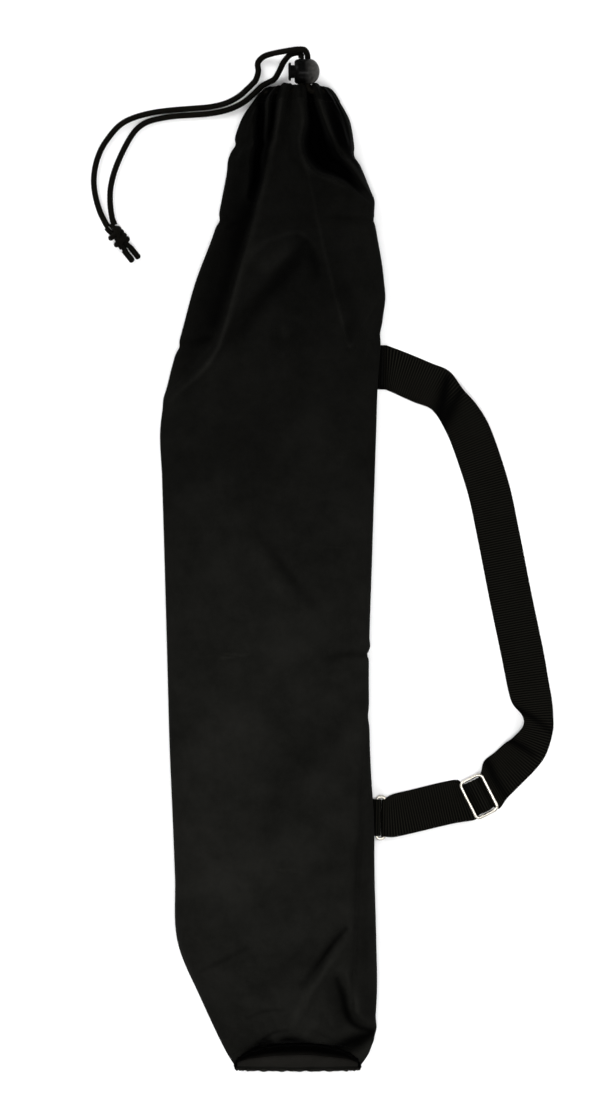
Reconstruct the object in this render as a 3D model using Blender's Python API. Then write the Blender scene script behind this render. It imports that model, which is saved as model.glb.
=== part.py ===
"""Drawstring carry sleeve for a drawing tube, lying flat and empty on its back.

Metres, +Z up. The sleeve lies on z = 0 with its base at -Y and its drawcord mouth at +Y. The shoulder strap lies
to the right, at +X. The origin is on the surface, under the middle of the sleeve and strap together.
"""
import math

import bmesh
import bpy
from mathutils import Matrix, Vector

# Sleeve. Each station: distance from the base, left edge, right edge, height of the empty sleeve there.
BASE_Y = -0.3270
SLEEVE_STATIONS = (
    (0.000, -0.0790, 0.0005, 0.0200),
    (0.012, -0.0862, 0.0078, 0.0225),
    (0.045, -0.1014, 0.0120, 0.0250),
    (0.083, -0.1170, 0.0118, 0.0265),
    (0.125, -0.1187, 0.0105, 0.0265),
    (0.163, -0.1202, 0.0088, 0.0260),
    (0.210, -0.1222, 0.0076, 0.0240),
    (0.262, -0.1236, 0.0070, 0.0225),
    (0.330, -0.1255, 0.0090, 0.0205),
    (0.385, -0.1272, 0.0108, 0.0175),
    (0.415, -0.1283, 0.0118, 0.0160),
    (0.445, -0.1233, 0.0128, 0.0160),
    (0.480, -0.1138, 0.0155, 0.0185),
    (0.510, -0.1055, 0.0168, 0.0215),
    (0.545, -0.0926, 0.0115, 0.0250),
    (0.570, -0.0872, 0.0075, 0.0260),
    (0.595, -0.0822, -0.0020, 0.0255),
    (0.615, -0.0758, -0.0065, 0.0240),
    (0.630, -0.0655, -0.0148, 0.0222),
    (0.639, -0.0582, -0.0202, 0.0205),
)
WALL = 0.0010
EDGE_HEIGHT_SHARE = 0.36
EDGE_HEIGHT_MOST = 0.0080
EDGE_REACH = 1.25
ARCH_POWER = 2.2
SEAM_TURN = 0.0100
BASE_LEAN = 0.0100
BASE_LEAN_REACH = 0.0500
UPPER_STEPS = 28
CORNER_STEPS = 5
FLAT_STEPS = 10
BASE_ROWS = 7
BASE_ROW_STEP = 0.0070
ROW_STEP = 0.0180
GAP = 0.0003

# Mouth hem, the drawcord in it and the cord lock.
HEM_BOTTOM = 0.6286
HEM_TOP = 0.6370
HEM_THICKNESS = 0.0070
CORD_DIAMETER = 0.0038
CORD_ALONG = 0.6325
CORD_BEND = 0.0040
CORD_SPACING = 0.0041
LOCK_CENTRE_X = -0.0348
LOCK_RADIUS = 0.00825
LOCK_CLOSED_END = 0.0098
LOCK_OPEN_END = -0.0064
LOCK_BORE_RADIUS = 0.0045
LOCK_BORE_END = 0.0084
LOCK_SLOT = (0.0092, 0.0046)
PLUNGER_RADIUS = 0.0042
PLUNGER_END = 0.0053
PLUNGER_TRAVEL = 0.0020
BUTTON = (-0.0104, -0.0087, 0.0058)
SPRING_WIRE = 0.0005
SPRING_RADIUS = 0.0030
SPRING_TURNS = 2.0

# Free cord tails, from the lock to the knot.
TAIL_A_ROUTE = (
    (-0.0350, 0.3322, 0.0203),
    (-0.0395, 0.3325, 0.0198),
    (-0.0440, 0.3323, 0.0168),
    (-0.0500, 0.3319, 0.0120),
    (-0.0560, 0.3313, 0.0070),
    (-0.0613, 0.3299, 0.0036),
    (-0.0650, 0.3261, 0.0021),
    (-0.0648, 0.3205, 0.0020),
    (-0.0663, 0.3152, 0.0020),
    (-0.0689, 0.3120, 0.0020),
    (-0.0722, 0.3088, 0.0020),
    (-0.0758, 0.3055, 0.0020),
    (-0.0805, 0.3024, 0.0020),
    (-0.0870, 0.2995, 0.0020),
    (-0.0960, 0.2975, 0.0020),
    (-0.1070, 0.2965, 0.0020),
    (-0.1200, 0.2955, 0.0020),
    (-0.1330, 0.2938, 0.0020),
    (-0.1450, 0.2907, 0.0020),
    (-0.1535, 0.2865, 0.0020),
    (-0.1600, 0.2800, 0.0020),
    (-0.1663, 0.2708, 0.0020),
    (-0.1702, 0.2605, 0.0020),
    (-0.1716, 0.2495, 0.0020),
    (-0.1705, 0.2395, 0.0020),
    (-0.1676, 0.2295, 0.0020),
    (-0.1641, 0.2222, 0.0020),
    (-0.1625, 0.2197, 0.0020),
)
TAIL_B_ROUTE = (
    (-0.0402, 0.3308, 0.0152),
    (-0.0445, 0.3295, 0.0126),
    (-0.0485, 0.3253, 0.0086),
    (-0.0512, 0.3201, 0.0052),
    (-0.0543, 0.3155, 0.0030),
    (-0.0585, 0.3132, 0.0021),
    (-0.0620, 0.3113, 0.0020),
    (-0.0650, 0.3086, 0.0020),
    (-0.0682, 0.3055, 0.0020),
    (-0.0723, 0.3019, 0.0020),
    (-0.0780, 0.2983, 0.0020),
    (-0.0860, 0.2952, 0.0020),
    (-0.0960, 0.2932, 0.0020),
    (-0.1070, 0.2923, 0.0020),
    (-0.1200, 0.2914, 0.0020),
    (-0.1300, 0.2897, 0.0020),
    (-0.1370, 0.2876, 0.0020),
    (-0.1422, 0.2844, 0.0020),
    (-0.1463, 0.2799, 0.0020),
    (-0.1506, 0.2728, 0.0020),
    (-0.1553, 0.2630, 0.0020),
    (-0.1588, 0.2535, 0.0020),
    (-0.1608, 0.2438, 0.0020),
    (-0.1609, 0.2340, 0.0020),
    (-0.1596, 0.2250, 0.0020),
    (-0.1580, 0.2210, 0.0020),
)
KNOT_CENTRE = (-0.1555, 0.2123, 0.0047)
KNOT_HALF_SIZES = (0.0080, 0.0060, 0.0046)
KNOT_TURN = math.radians(-50)
END_A_ROUTE = ((-0.1520, 0.2043, 0.0020), (-0.1488, 0.2003, 0.0020), (-0.1460, 0.1968, 0.0020))
END_B_ROUTE = ((-0.1478, 0.2062, 0.0020), (-0.1447, 0.2023, 0.0020), (-0.1420, 0.1990, 0.0020))

# Shoulder strap: one length of webbing from the sewn end, through the slider, round the ring and back.
WEBBING = 0.0275
WEBBING_THICKNESS = 0.0011
RING_BAND = 0.0235
SLIDER_BAND = 0.0220
STRAP_FLOOR = 0.00065
# Each station: centre x and y, heading in degrees, width, height of the middle, roll in degrees.
STRAP_STATIONS = (
    (0.0182, 0.1284, -1, 0.0288, 0.00065, 0),
    (0.0272, 0.1249, -16, 0.0276, 0.00065, 0),
    (0.0420, 0.1185, -24, 0.0278, 0.00120, 0),
    (0.0525, 0.1140, -31, 0.0272, 0.00320, 8),
    (0.0592, 0.1060, -48, 0.0246, 0.00560, 16),
    (0.0665, 0.0965, -60, 0.0262, 0.00420, 10),
    (0.0740, 0.0820, -67, 0.0274, 0.00180, 3),
    (0.0846, 0.0501, -75, 0.0275, 0.00090, 0),
    (0.0911, 0.0202, -78, 0.0275, 0.00075, 0),
    (0.0990, -0.0200, -79, 0.0275, 0.00075, 0),
    (0.1069, -0.0580, -80, 0.0275, 0.00090, 0),
    (0.1106, -0.0780, -83, 0.0272, 0.00180, -4),
    (0.1130, -0.0885, -84, 0.0262, 0.00340, -8),
    (0.1166, -0.0975, -88, 0.0208, 0.00480, -13),
    (0.1166, -0.1062, -100, 0.0208, 0.00550, -14),
    (0.1112, -0.1172, -115, 0.0248, 0.00450, -8),
    (0.1056, -0.1238, -128, 0.0266, 0.00340, -6),
    (0.0975, -0.1318, -138, 0.0268, 0.00230, 0),
    (0.0895, -0.1392, -148, 0.0284, 0.00260, 0),
)
SWING_TOP = Vector((0.0175, 0.1285, 0.0012))
SWING_LOW = Vector((0.0122, -0.1640, 0.0029))
WIRE = 0.0021
LOOP_CLEARANCE = 0.0003
LAYER_GAP = 0.00025

# Slider, ring and the tab that holds the ring.
SLIDER_CENTRE = Vector((0.0783, -0.1499, 0.00595))
SLIDER_TURN = math.radians(27)
SLIDER_SIZE = (0.0174, 0.0275)
SLIDER_CORNER = 0.0032
RING_REACH = 0.0054
RING_LENGTH = 0.0292
RING_CORNER = 0.0031
TAB_WIDTH = 0.0200
TAB_END_X = -0.0058


# Mesh helpers.

def make_material(name, colour, roughness, metallic=0.0):
    material = bpy.data.materials.new(name)
    material.use_nodes = True
    shader = material.node_tree.nodes["Principled BSDF"]
    shader.inputs["Base Color"].default_value = (*colour, 1.0)
    shader.inputs["Roughness"].default_value = roughness
    shader.inputs["Metallic"].default_value = metallic
    return material


def add_object(name, vertices, faces, material, matrix=Matrix()):
    """A named object from a closed mesh, with its faces turned outwards."""
    mesh = bpy.data.meshes.new(name)
    mesh.from_pydata([tuple(point) for point in vertices], [], faces)
    cleaner = bmesh.new()
    cleaner.from_mesh(mesh)
    bmesh.ops.recalc_face_normals(cleaner, faces=cleaner.faces)
    cleaner.to_mesh(mesh)
    cleaner.free()
    if material:
        mesh.materials.append(material)
    mesh.shade_smooth()
    mesh.set_sharp_from_angle(angle=math.radians(40))
    made = bpy.data.objects.new(name, mesh)
    made.matrix_world = matrix
    bpy.context.scene.collection.objects.link(made)
    return made


def joined_rings(rings, closed):
    """Vertices and quads of rings of equal length, joined each to the next."""
    count = len(rings[0])
    vertices = [point for ring in rings for point in ring]
    faces = []
    for row in range(len(rings) if closed else len(rings) - 1):
        here = row * count
        there = (row + 1) % len(rings) * count
        for i in range(count):
            j = (i + 1) % count
            faces.append((here + i, here + j, there + j, there + i))
    return vertices, faces


def add_hollow(name, rings, material, matrix=Matrix()):
    """A solid whose rings go round a closed profile, such as a tube's outside, top and inside."""
    return add_object(name, *joined_rings(rings, closed=True), material, matrix)


def add_bar(name, rings, material, matrix=Matrix()):
    """A solid along a row of rings, with flat ends."""
    vertices, faces = joined_rings(rings, closed=False)
    count = len(rings[0])
    faces.append(tuple(range(count)))
    faces.append(tuple(range(len(vertices) - count, len(vertices))))
    return add_object(name, vertices, faces, material, matrix)


def add_turned(name, profile, material, matrix, steps=24):
    """A solid turned round local X from (x, radius) pairs that start and end on the axis."""
    rings = []
    for x, radius in profile[1:-1]:
        ring = []
        for i in range(steps):
            turn = math.tau * i / steps
            ring.append(Vector((x, radius * math.cos(turn), radius * math.sin(turn))))
        rings.append(ring)
    vertices, faces = joined_rings(rings, closed=False)
    first = len(vertices)
    vertices += [Vector((profile[0][0], 0, 0)), Vector((profile[-1][0], 0, 0))]
    last_ring = first - steps
    for i in range(steps):
        j = (i + 1) % steps
        faces.append((first, j, i))
        faces.append((first + 1, last_ring + i, last_ring + j))
    return add_object(name, vertices, faces, material, matrix)


def cut(target, cutter):
    cutter.hide_render = True
    cutter.display_type = "WIRE"
    modifier = target.modifiers.new("cut", "BOOLEAN")
    modifier.operation = "DIFFERENCE"
    modifier.object = cutter


def slot_ring(x, length, height, steps=6):
    """The outline of a slot with round ends, in the plane of local x, long along local Y."""
    points = []
    for end in (1, -1):
        for i in range(steps + 1):
            turn = math.pi * i / steps - math.pi / 2
            across = end * (length - height) / 2 + end * height / 2 * math.cos(turn)
            points.append(Vector((x, across, end * height / 2 * math.sin(turn))))
    return points


def smooth_curve(points, steps_for):
    """Points on a Catmull-Rom curve through the given ones; steps_for says how many per span."""
    points = [Vector(point) for point in points]
    padded = [2 * points[0] - points[1], *points, 2 * points[-1] - points[-2]]
    curve = [points[0]]
    for a, b, c, d in zip(padded, padded[1:], padded[2:], padded[3:]):
        steps = steps_for((c - b).length)
        for i in range(1, steps + 1):
            t = i / steps
            curve.append(0.5 * (2 * b + (c - a) * t + (2 * a - 5 * b + 4 * c - d) * t ** 2
                                + (3 * b - a - 3 * c + d) * t ** 3))
    return curve


def add_cord(name, route, material):
    """A round cord along a smooth curve through its route."""
    def steps(span):
        return max(1, round(span / (3 * CORD_DIAMETER)))

    points = smooth_curve(route, steps)
    data = bpy.data.curves.new(name, "CURVE")
    data.dimensions = "3D"
    data.bevel_depth = CORD_DIAMETER / 2
    data.bevel_resolution = 2
    data.use_fill_caps = True
    spline = data.splines.new("POLY")
    spline.points.add(len(points) - 1)
    for target, point in zip(spline.points, points):
        target.co = (*point, 1)
    data.materials.append(material)
    made = bpy.data.objects.new(name, data)
    bpy.context.scene.collection.objects.link(made)
    return made


# Sleeve shape.

def station(along):
    """Left edge, right edge and height at a distance from the base, read smoothly from the stations."""
    rows = SLEEVE_STATIONS
    k = 0
    while k < len(rows) - 2 and along > rows[k + 1][0]:
        k += 1
    before, here, there, after = rows[max(k - 1, 0)], rows[k], rows[k + 1], rows[min(k + 2, len(rows) - 1)]
    span = there[0] - here[0]
    t = (along - here[0]) / span
    values = []
    for column in (1, 2, 3):
        slope_here = (there[column] - before[column]) / (there[0] - before[0]) * span
        slope_there = (after[column] - here[column]) / (after[0] - here[0]) * span
        values.append((2 * t ** 3 - 3 * t ** 2 + 1) * here[column] + (t ** 3 - 2 * t ** 2 + t) * slope_here
                      + (3 * t ** 2 - 2 * t ** 3) * there[column] + (t ** 3 - t ** 2) * slope_there)
    return values


def signed_power(value, power):
    return math.copysign(abs(value) ** power, value)


def wall_point(along, inset, angle):
    """A point of the wall, inset from its outside. The angle is 0 at the right edge and 90 degrees on top."""
    left, right, height = station(along)
    middle = (left + right) / 2
    half = (right - left) / 2
    edge = min(EDGE_HEIGHT_SHARE * height, EDGE_HEIGHT_MOST)
    reach = EDGE_REACH * edge
    if angle <= math.pi:
        x = (half - inset) * signed_power(math.cos(angle), 2 / ARCH_POWER)
        z = edge + (height - inset - edge) * signed_power(math.sin(angle), 2 / ARCH_POWER)
    else:
        share = (angle - math.pi) / math.pi
        side = -1 if share < 0.5 else 1
        from_edge = min(share, 1 - share) / 0.25
        if from_edge < 1:
            turn = from_edge * math.pi / 2
            x = side * (half - reach + (reach - inset) * math.cos(turn))
            z = edge - (edge - inset) * math.sin(turn)
        else:
            x = side * (half - reach) * (2 - from_edge)
            z = inset
    lean = BASE_LEAN * (z / height) ** 2 * max(0, 1 - along / BASE_LEAN_REACH)
    return Vector((middle + x, BASE_Y + along + lean, z))


def wall_angles():
    upper = [math.pi * i / UPPER_STEPS for i in range(UPPER_STEPS)]
    quarter = math.pi / 4
    corner = [math.pi + quarter * i / CORNER_STEPS for i in range(CORNER_STEPS)]
    flat = [math.pi + quarter + 2 * quarter * i / FLAT_STEPS for i in range(FLAT_STEPS)]
    last = [math.tau - quarter + quarter * i / CORNER_STEPS for i in range(CORNER_STEPS)]
    return upper + corner + flat + last


def wall_ring(along, inset):
    return [wall_point(along, inset, angle) for angle in wall_angles()]


def sleeve_rows():
    """Where the sleeve's rings stand: closer together at the base, and shared by what is sewn inside it."""
    close = [BASE_ROW_STEP * i for i in range(BASE_ROWS)]
    start, end = close[-1], HEM_BOTTOM - GAP
    count = round((end - start) / ROW_STEP)
    return close + [start + (end - start) * i / count for i in range(1, count + 1)]


def build_sleeve(nylon):
    """Two panels: the front arches up and folds under at both sides, where it meets the flat back."""
    angles = wall_angles()
    left_seam = UPPER_STEPS + CORNER_STEPS
    right_seam = left_seam + FLAT_STEPS
    front = [angles[right_seam] + SEAM_TURN, *angles[right_seam + 1:], *angles[:left_seam],
             angles[left_seam] - SEAM_TURN]
    back = [angles[left_seam] + SEAM_TURN, *angles[left_seam + 1:right_seam], angles[right_seam] - SEAM_TURN]
    for name, turns in (("sleeve_front", front), ("sleeve_back", back)):
        rings = []
        for along in sleeve_rows():
            outside = [wall_point(along, 0, turn) for turn in turns]
            inside = [wall_point(along, WALL, turn) for turn in reversed(turns)]
            rings.append(outside + inside)
        add_bar(name, rings, nylon)


def build_base_disc(nylon):
    """The base panel, dished inwards because the sleeve lies flat."""
    inset = WALL + GAP
    dish = 0.008
    shares = (1.0, 0.75, 0.5, 0.25)

    def dished(start, share):
        rim = wall_ring(start, inset)
        middle = sum(rim, Vector()) / len(rim)
        depth = Vector((0, dish * (1 - share ** 2), 0))
        return [middle.lerp(point, share) + depth for point in rim]

    outside, inside = 0.0008, 0.0020
    rings = [dished(outside, share) for share in reversed(shares)]
    rings += [dished(inside, share) for share in shares]
    vertices, faces = joined_rings(rings, closed=False)
    count = len(rings[0])
    for start, point in ((0, dished(outside, 0)[0]), (len(vertices) - count, dished(inside, 0)[0])):
        vertices.append(point)
        faces += [(len(vertices) - 1, start + i, start + (i + 1) % count) for i in range(count)]
    add_object("base_disc", vertices, faces, nylon)


def build_bindings(tape):
    """The tapes over the base seam and the side seam, inside the sleeve."""
    outer = WALL + GAP
    inner = outer + 0.0010
    rows = sleeve_rows()
    low, high = rows[2], rows[3]
    add_hollow("base_binding", [wall_ring(low, outer), wall_ring(high, outer),
                                wall_ring(high, inner), wall_ring(low, inner)], tape)
    seam_low, seam_high = math.radians(15), math.radians(30)
    strip = []
    for along in rows[4:-1]:
        strip.append([wall_point(along, outer, seam_low), wall_point(along, outer, seam_high),
                      wall_point(along, inner, seam_high), wall_point(along, inner, seam_low)])
    add_bar("side_seam_binding", strip, tape)


# Mouth and cord.

def channel_angle(x):
    """The wall angle, on top of the mouth, at which the cord's channel crosses x."""
    left, right, _ = station(CORD_ALONG)
    share = (x - (left + right) / 2) / ((right - left) / 2 - HEM_THICKNESS / 2)
    return math.acos(signed_power(share, ARCH_POWER / 2))


def channel_point(angle):
    return wall_point(CORD_ALONG, HEM_THICKNESS / 2, angle)


def lock_centre():
    y = BASE_Y + HEM_TOP + GAP + LOCK_RADIUS
    return Vector((LOCK_CENTRE_X, y, channel_point(channel_angle(LOCK_CENTRE_X)).z))


def build_mouth_hem(nylon):
    """The hem is a channel, open towards the sleeve, with a slot where both cords come out."""
    corners = ((0, HEM_BOTTOM), (0, HEM_TOP), (HEM_THICKNESS, HEM_TOP), (HEM_THICKNESS, HEM_BOTTOM),
               (HEM_THICKNESS - WALL, HEM_BOTTOM), (HEM_THICKNESS - WALL, HEM_TOP - WALL),
               (WALL, HEM_TOP - WALL), (WALL, HEM_BOTTOM))
    hem = add_hollow("mouth_hem", [wall_ring(along, inset) for inset, along in corners], nylon)
    turn = Matrix.Rotation(math.pi / 2, 4, "Z")
    centre = lock_centre()
    place = Matrix.Translation((centre.x, BASE_Y + HEM_TOP, centre.z)) @ turn
    length, height = LOCK_SLOT
    slot = add_bar("hem_slot_cutter", [slot_ring(x, length, height) for x in (-0.0025, 0.0025)], None, place)
    cut(hem, slot)


def build_drawcord(cord):
    """The cord in the hem, turned up at both ends to pass through the lock."""
    centre = lock_centre()
    top = centre.y + LOCK_RADIUS
    channel_y = BASE_Y + CORD_ALONG
    left = centre.x - CORD_SPACING / 2
    right = centre.x + CORD_SPACING / 2

    def upturn(x, side):
        """From the lock down into the channel, bending away towards one side."""
        points = [Vector((x, top, centre.z)), Vector((x, channel_y + CORD_BEND, centre.z))]
        for turn in (math.radians(30), math.radians(60)):
            out = x + side * CORD_BEND * (1 - math.cos(turn))
            down = channel_y + CORD_BEND * (1 - math.sin(turn))
            points.append(Vector((out, down, channel_point(channel_angle(out)).z)))
        return points

    start = channel_angle(left - CORD_BEND)
    end = channel_angle(right + CORD_BEND) + math.tau
    steps = 26
    around = [channel_point((start + (end - start) * i / steps) % math.tau) for i in range(steps + 1)]
    route = upturn(left, -1) + around + upturn(right, 1)[::-1]
    add_cord("drawcord", route, cord)


def build_tails(cord):
    centre = lock_centre()
    exit_y = centre.y + LOCK_RADIUS + GAP
    for name, side, route in (("cord_tail_a", 1, TAIL_A_ROUTE), ("cord_tail_b", -1, TAIL_B_ROUTE)):
        x = centre.x + side * CORD_SPACING / 2
        lead = Vector((x, exit_y, centre.z))
        rise = 0.0018 if side > 0 else -0.0006
        straight = Vector((x, exit_y + 0.0010, centre.z))
        bend = Vector((x - 0.0005, exit_y + 0.0030, centre.z + rise))
        add_cord(name, (lead, straight, bend, *route), cord)
    add_cord("cord_end_a", END_A_ROUTE, cord)
    add_cord("cord_end_b", END_B_ROUTE, cord)


def build_knot(cord):
    rows, steps = 8, 16
    length, width, height = KNOT_HALF_SIZES
    profile = [(-length * math.cos(math.pi * i / rows), width * math.sin(math.pi * i / rows))
               for i in range(rows + 1)]
    flatten = Matrix.Diagonal((1, 1, height / width, 1))
    place = Matrix.Translation(KNOT_CENTRE) @ Matrix.Rotation(KNOT_TURN, 4, "Z")
    knot = add_turned("cord_knot", profile, cord, Matrix(), steps)
    knot.data.transform(flatten)
    knot.matrix_world = place


def build_lock(plastic, dark_plastic, steel):
    """A barrel closed at one end, a spring and a plunger. The cords cross it side by side."""
    place = Matrix.Translation(lock_centre())
    round_start = 0.0030
    profile = [(LOCK_BORE_END, 0.0), (LOCK_BORE_END, LOCK_BORE_RADIUS), (LOCK_OPEN_END, LOCK_BORE_RADIUS),
               (LOCK_OPEN_END, 0.0066), (LOCK_OPEN_END + 0.0016, LOCK_RADIUS - 0.0004)]
    dome = LOCK_CLOSED_END - round_start
    for i in range(7):
        turn = math.radians(15 * i)
        profile.append((round_start + dome * math.sin(turn), LOCK_RADIUS * math.cos(turn)))
    profile[-1] = (LOCK_CLOSED_END, 0.0)
    barrel = add_turned("cord_lock_barrel", profile, plastic, place)
    length, height = LOCK_SLOT
    across = Matrix.Rotation(math.pi / 2, 4, "Z")
    reach = LOCK_RADIUS + 0.002
    hole = add_bar("lock_hole_cutter", [slot_ring(x, length, height) for x in (-reach, reach)],
                   None, place @ across)
    cut(barrel, hole)

    button_face, button_back, button_radius = BUTTON
    plunger = add_turned("cord_lock_plunger", [
        (button_face, 0.0), (button_face, button_radius - 0.0012), (button_face + 0.0006, button_radius),
        (button_back, button_radius), (button_back, PLUNGER_RADIUS), (PLUNGER_END, PLUNGER_RADIUS),
        (PLUNGER_END, 0.0)], dark_plastic, place)
    slot_middle = -PLUNGER_TRAVEL / 2
    slot_length = length - 0.0006 + PLUNGER_TRAVEL
    slot_place = place @ Matrix.Translation((slot_middle, 0, 0)) @ across
    slot = add_bar("plunger_slot_cutter", [slot_ring(x, slot_length, height) for x in (-reach, reach)],
                   None, slot_place)
    cut(plunger, slot)
    build_spring(steel, place)


def build_spring(steel, place):
    start = PLUNGER_END + GAP + SPRING_WIRE / 2
    end = LOCK_BORE_END - GAP - SPRING_WIRE / 2
    steps, sides = 32, 6
    rings = []
    for i in range(steps + 1):
        turn = math.tau * SPRING_TURNS * i / steps
        outward = Vector((0, math.cos(turn), math.sin(turn)))
        middle = Vector((start + (end - start) * i / steps, 0, 0)) + outward * SPRING_RADIUS
        ring = []
        for k in range(sides):
            around = math.tau * k / sides
            offset = outward * math.cos(around) + Vector((1, 0, 0)) * math.sin(around)
            ring.append(middle + offset * SPRING_WIRE / 2)
        rings.append(ring)
    add_bar("cord_lock_spring", rings, steel, place)


# Strap and its hardware.

def swing_frame():
    """Local Y runs along the line that the strap swings about, local X points away from the sleeve."""
    along = (SWING_TOP - SWING_LOW).normalized()
    up = Vector((0, 0, 1))
    out = along.cross(up).normalized()
    up = out.cross(along)
    matrix = Matrix((out, along, up)).transposed().to_4x4()
    matrix.translation = SWING_LOW
    return matrix


def edges_of(centre, heading, width, roll=0.0):
    """Both edges of the webbing at a place on its run. A roll lifts the edge on the left of the heading."""
    side = Vector((-math.sin(heading), math.cos(heading), 0)) * math.cos(roll) + Vector((0, 0, math.sin(roll)))
    return centre + side * width / 2, centre - side * width / 2


def between(value, table):
    """Straight reading of a table of (place, reading) pairs."""
    for (start, low), (end, high) in zip(table, table[1:]):
        if value <= end:
            return low + (high - low) * max(0, (value - start) / (end - start))
    return table[-1][1]


def strap_edges():
    """Edge pairs along the whole webbing, from the sewn end to the end stitched at the slider."""
    pairs = []
    for x, y, heading, width, z, roll in STRAP_STATIONS:
        pairs.append(edges_of(Vector((x, y, z)), math.radians(heading), width, math.radians(roll)))

    ring_bar = swing_frame() @ Vector((RING_REACH, 0, 0))
    run = (SLIDER_CENTRE - ring_bar).xy
    length = run.length
    run_heading = math.atan2(run.y, run.x)
    bar_heading = math.atan2((SWING_TOP - SWING_LOW).y, (SWING_TOP - SWING_LOW).x) - math.pi / 2
    headings = ((0, bar_heading), (0.016, run_heading), (length - 0.018, run_heading), (length - 0.004, SLIDER_TURN))
    widths = ((0, RING_BAND), (0.012, WEBBING), (length - 0.018, WEBBING), (length - 0.005, SLIDER_BAND),
              (length, SLIDER_BAND))

    def lower(distance, z):
        """An edge pair on the run between ring and slider. In the slider it lies square to the bar."""
        heading = between(distance, headings)
        place = ring_bar.xy + run.normalized() * distance
        if distance > length - SLIDER_SIZE[0] / 2:
            square = Vector((math.cos(SLIDER_TURN), math.sin(SLIDER_TURN)))
            place = SLIDER_CENTRE.xy + square * (distance - length)
        return edges_of(Vector((*place, z)), heading + math.pi, between(distance, widths))

    bar_z = SLIDER_CENTRE.z
    first = STRAP_FLOOR
    second = first + WEBBING_THICKNESS + LAYER_GAP
    third = second + WEBBING_THICKNESS + LAYER_GAP
    wrap = WIRE / 2 + LOOP_CLEARANCE + WEBBING_THICKNESS / 2
    hump = wrap + WEBBING_THICKNESS + LAYER_GAP

    pairs += [lower(length + s, z) for s, z in ((0.0085, third), (0.0055, third + 0.00025), (0.0038, third + 0.00120))]
    for degrees in range(0, 181, 20):
        turn = math.radians(degrees)
        pairs.append(lower(length + hump * math.cos(turn), bar_z + hump * math.sin(turn)))
    pairs += [lower(length + s, z) for s, z in ((-0.0038, third + 0.00120), (-0.0055, third + 0.00025),
                                                 (-0.0085, third), (-0.0200, third))]
    top_z = ring_bar.z + wrap
    pairs += [lower(0.020, top_z - 0.0006), lower(0.006, top_z)]
    for degrees in range(90, 271, 20):
        turn = math.radians(degrees)
        pairs.append(lower(wrap * math.cos(turn), ring_bar.z + wrap * math.sin(turn)))
    low_z = ring_bar.z - wrap
    pairs += [lower(0.006, low_z), lower(0.020, first), lower(length - 0.012, first), lower(length - 0.0070, first)]
    pairs += [lower(length - 0.0046, first + 0.0004), lower(length - 0.0024, first + 0.0017)]
    for degrees in range(-105, 196, 25):
        turn = math.radians(degrees)
        pairs.append(lower(length + wrap * math.cos(turn), bar_z + wrap * math.sin(turn)))
    pairs += [lower(length - 0.0024, second + 0.0020), lower(length - 0.0040, second + 0.0006)]
    pairs += [lower(length - 0.0066, second), lower(length - 0.0160, second)]
    return pairs


def add_webbing(name, pairs, material):
    """A flat band through edge pairs, as thick as the webbing."""
    def steps(span):
        return max(1, round(span / 0.008))

    middles = [(a + b) / 2 for a, b in pairs]
    counts = [steps((b - a).length) for a, b in zip(middles, middles[1:])]

    def through(points):
        remaining = iter(counts)
        return smooth_curve(points, lambda _: next(remaining))

    left = through([pair[0] for pair in pairs])
    right = through([pair[1] for pair in pairs])
    middle = [(a + b) / 2 for a, b in zip(left, right)]
    rings = []
    for i, centre in enumerate(middle):
        onward = middle[min(i + 1, len(middle) - 1)] - middle[max(i - 1, 0)]
        across = left[i] - right[i]
        normal = onward.cross(across).normalized() * WEBBING_THICKNESS / 2
        rings.append([left[i] + normal, right[i] + normal, right[i] - normal, left[i] - normal])
    return add_bar(name, rings, material)


def build_strap(webbing):
    add_webbing("strap_webbing", strap_edges(), webbing)
    x, y, heading, width, z, _ = STRAP_STATIONS[0]
    heading = math.radians(heading)
    onward = Vector((math.cos(heading), math.sin(heading), 0))
    start = Vector((x, y, z))
    sewn = [edges_of(start - onward * back, heading, width) for back in (0.0062, 0.0012)]
    add_webbing("strap_sewn_end", sewn, webbing)


def add_stitch_block(name, length, width, height, place, thread):
    """A bar tack: a narrow raised block, long along local Y."""
    half, side = length / 2, width / 2
    rings = [[Vector((-side, y, 0)), Vector((side, y, 0)), Vector((side, y, height)), Vector((-side, y, height))]
             for y in (-half, half)]
    add_bar(name, rings, thread, place)


def build_stitches(thread):
    x, y, heading, _, z, _ = STRAP_STATIONS[0]
    turn = Matrix.Rotation(math.radians(heading), 4, "Z")
    above = z + WEBBING_THICKNESS / 2 + GAP
    place = Matrix.Translation((x, y, above)) @ turn @ Matrix.Translation((-0.0024, 0, 0))
    add_stitch_block("strap_end_stitch", 0.0230, 0.0014, 0.0004, place, thread)

    tab_place = swing_frame() @ Matrix.Translation((TAB_END_X + 0.0013, 0, -0.0007))
    add_stitch_block("ring_tab_stitch", 0.0170, 0.0014, 0.0004, tab_place, thread)

    ring_bar = swing_frame() @ Vector((RING_REACH, 0, 0))
    run = (SLIDER_CENTRE - ring_bar).xy
    back = run.normalized() * (run.length - 0.0178)
    low = STRAP_FLOOR + WEBBING_THICKNESS / 2 + GAP
    loop_place = Matrix.Translation((ring_bar.x + back.x, ring_bar.y + back.y, low))
    loop_place = loop_place @ Matrix.Rotation(math.atan2(run.y, run.x), 4, "Z")
    add_stitch_block("slider_loop_stitch", 0.0220, 0.0016, 0.0008, loop_place, thread)


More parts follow.
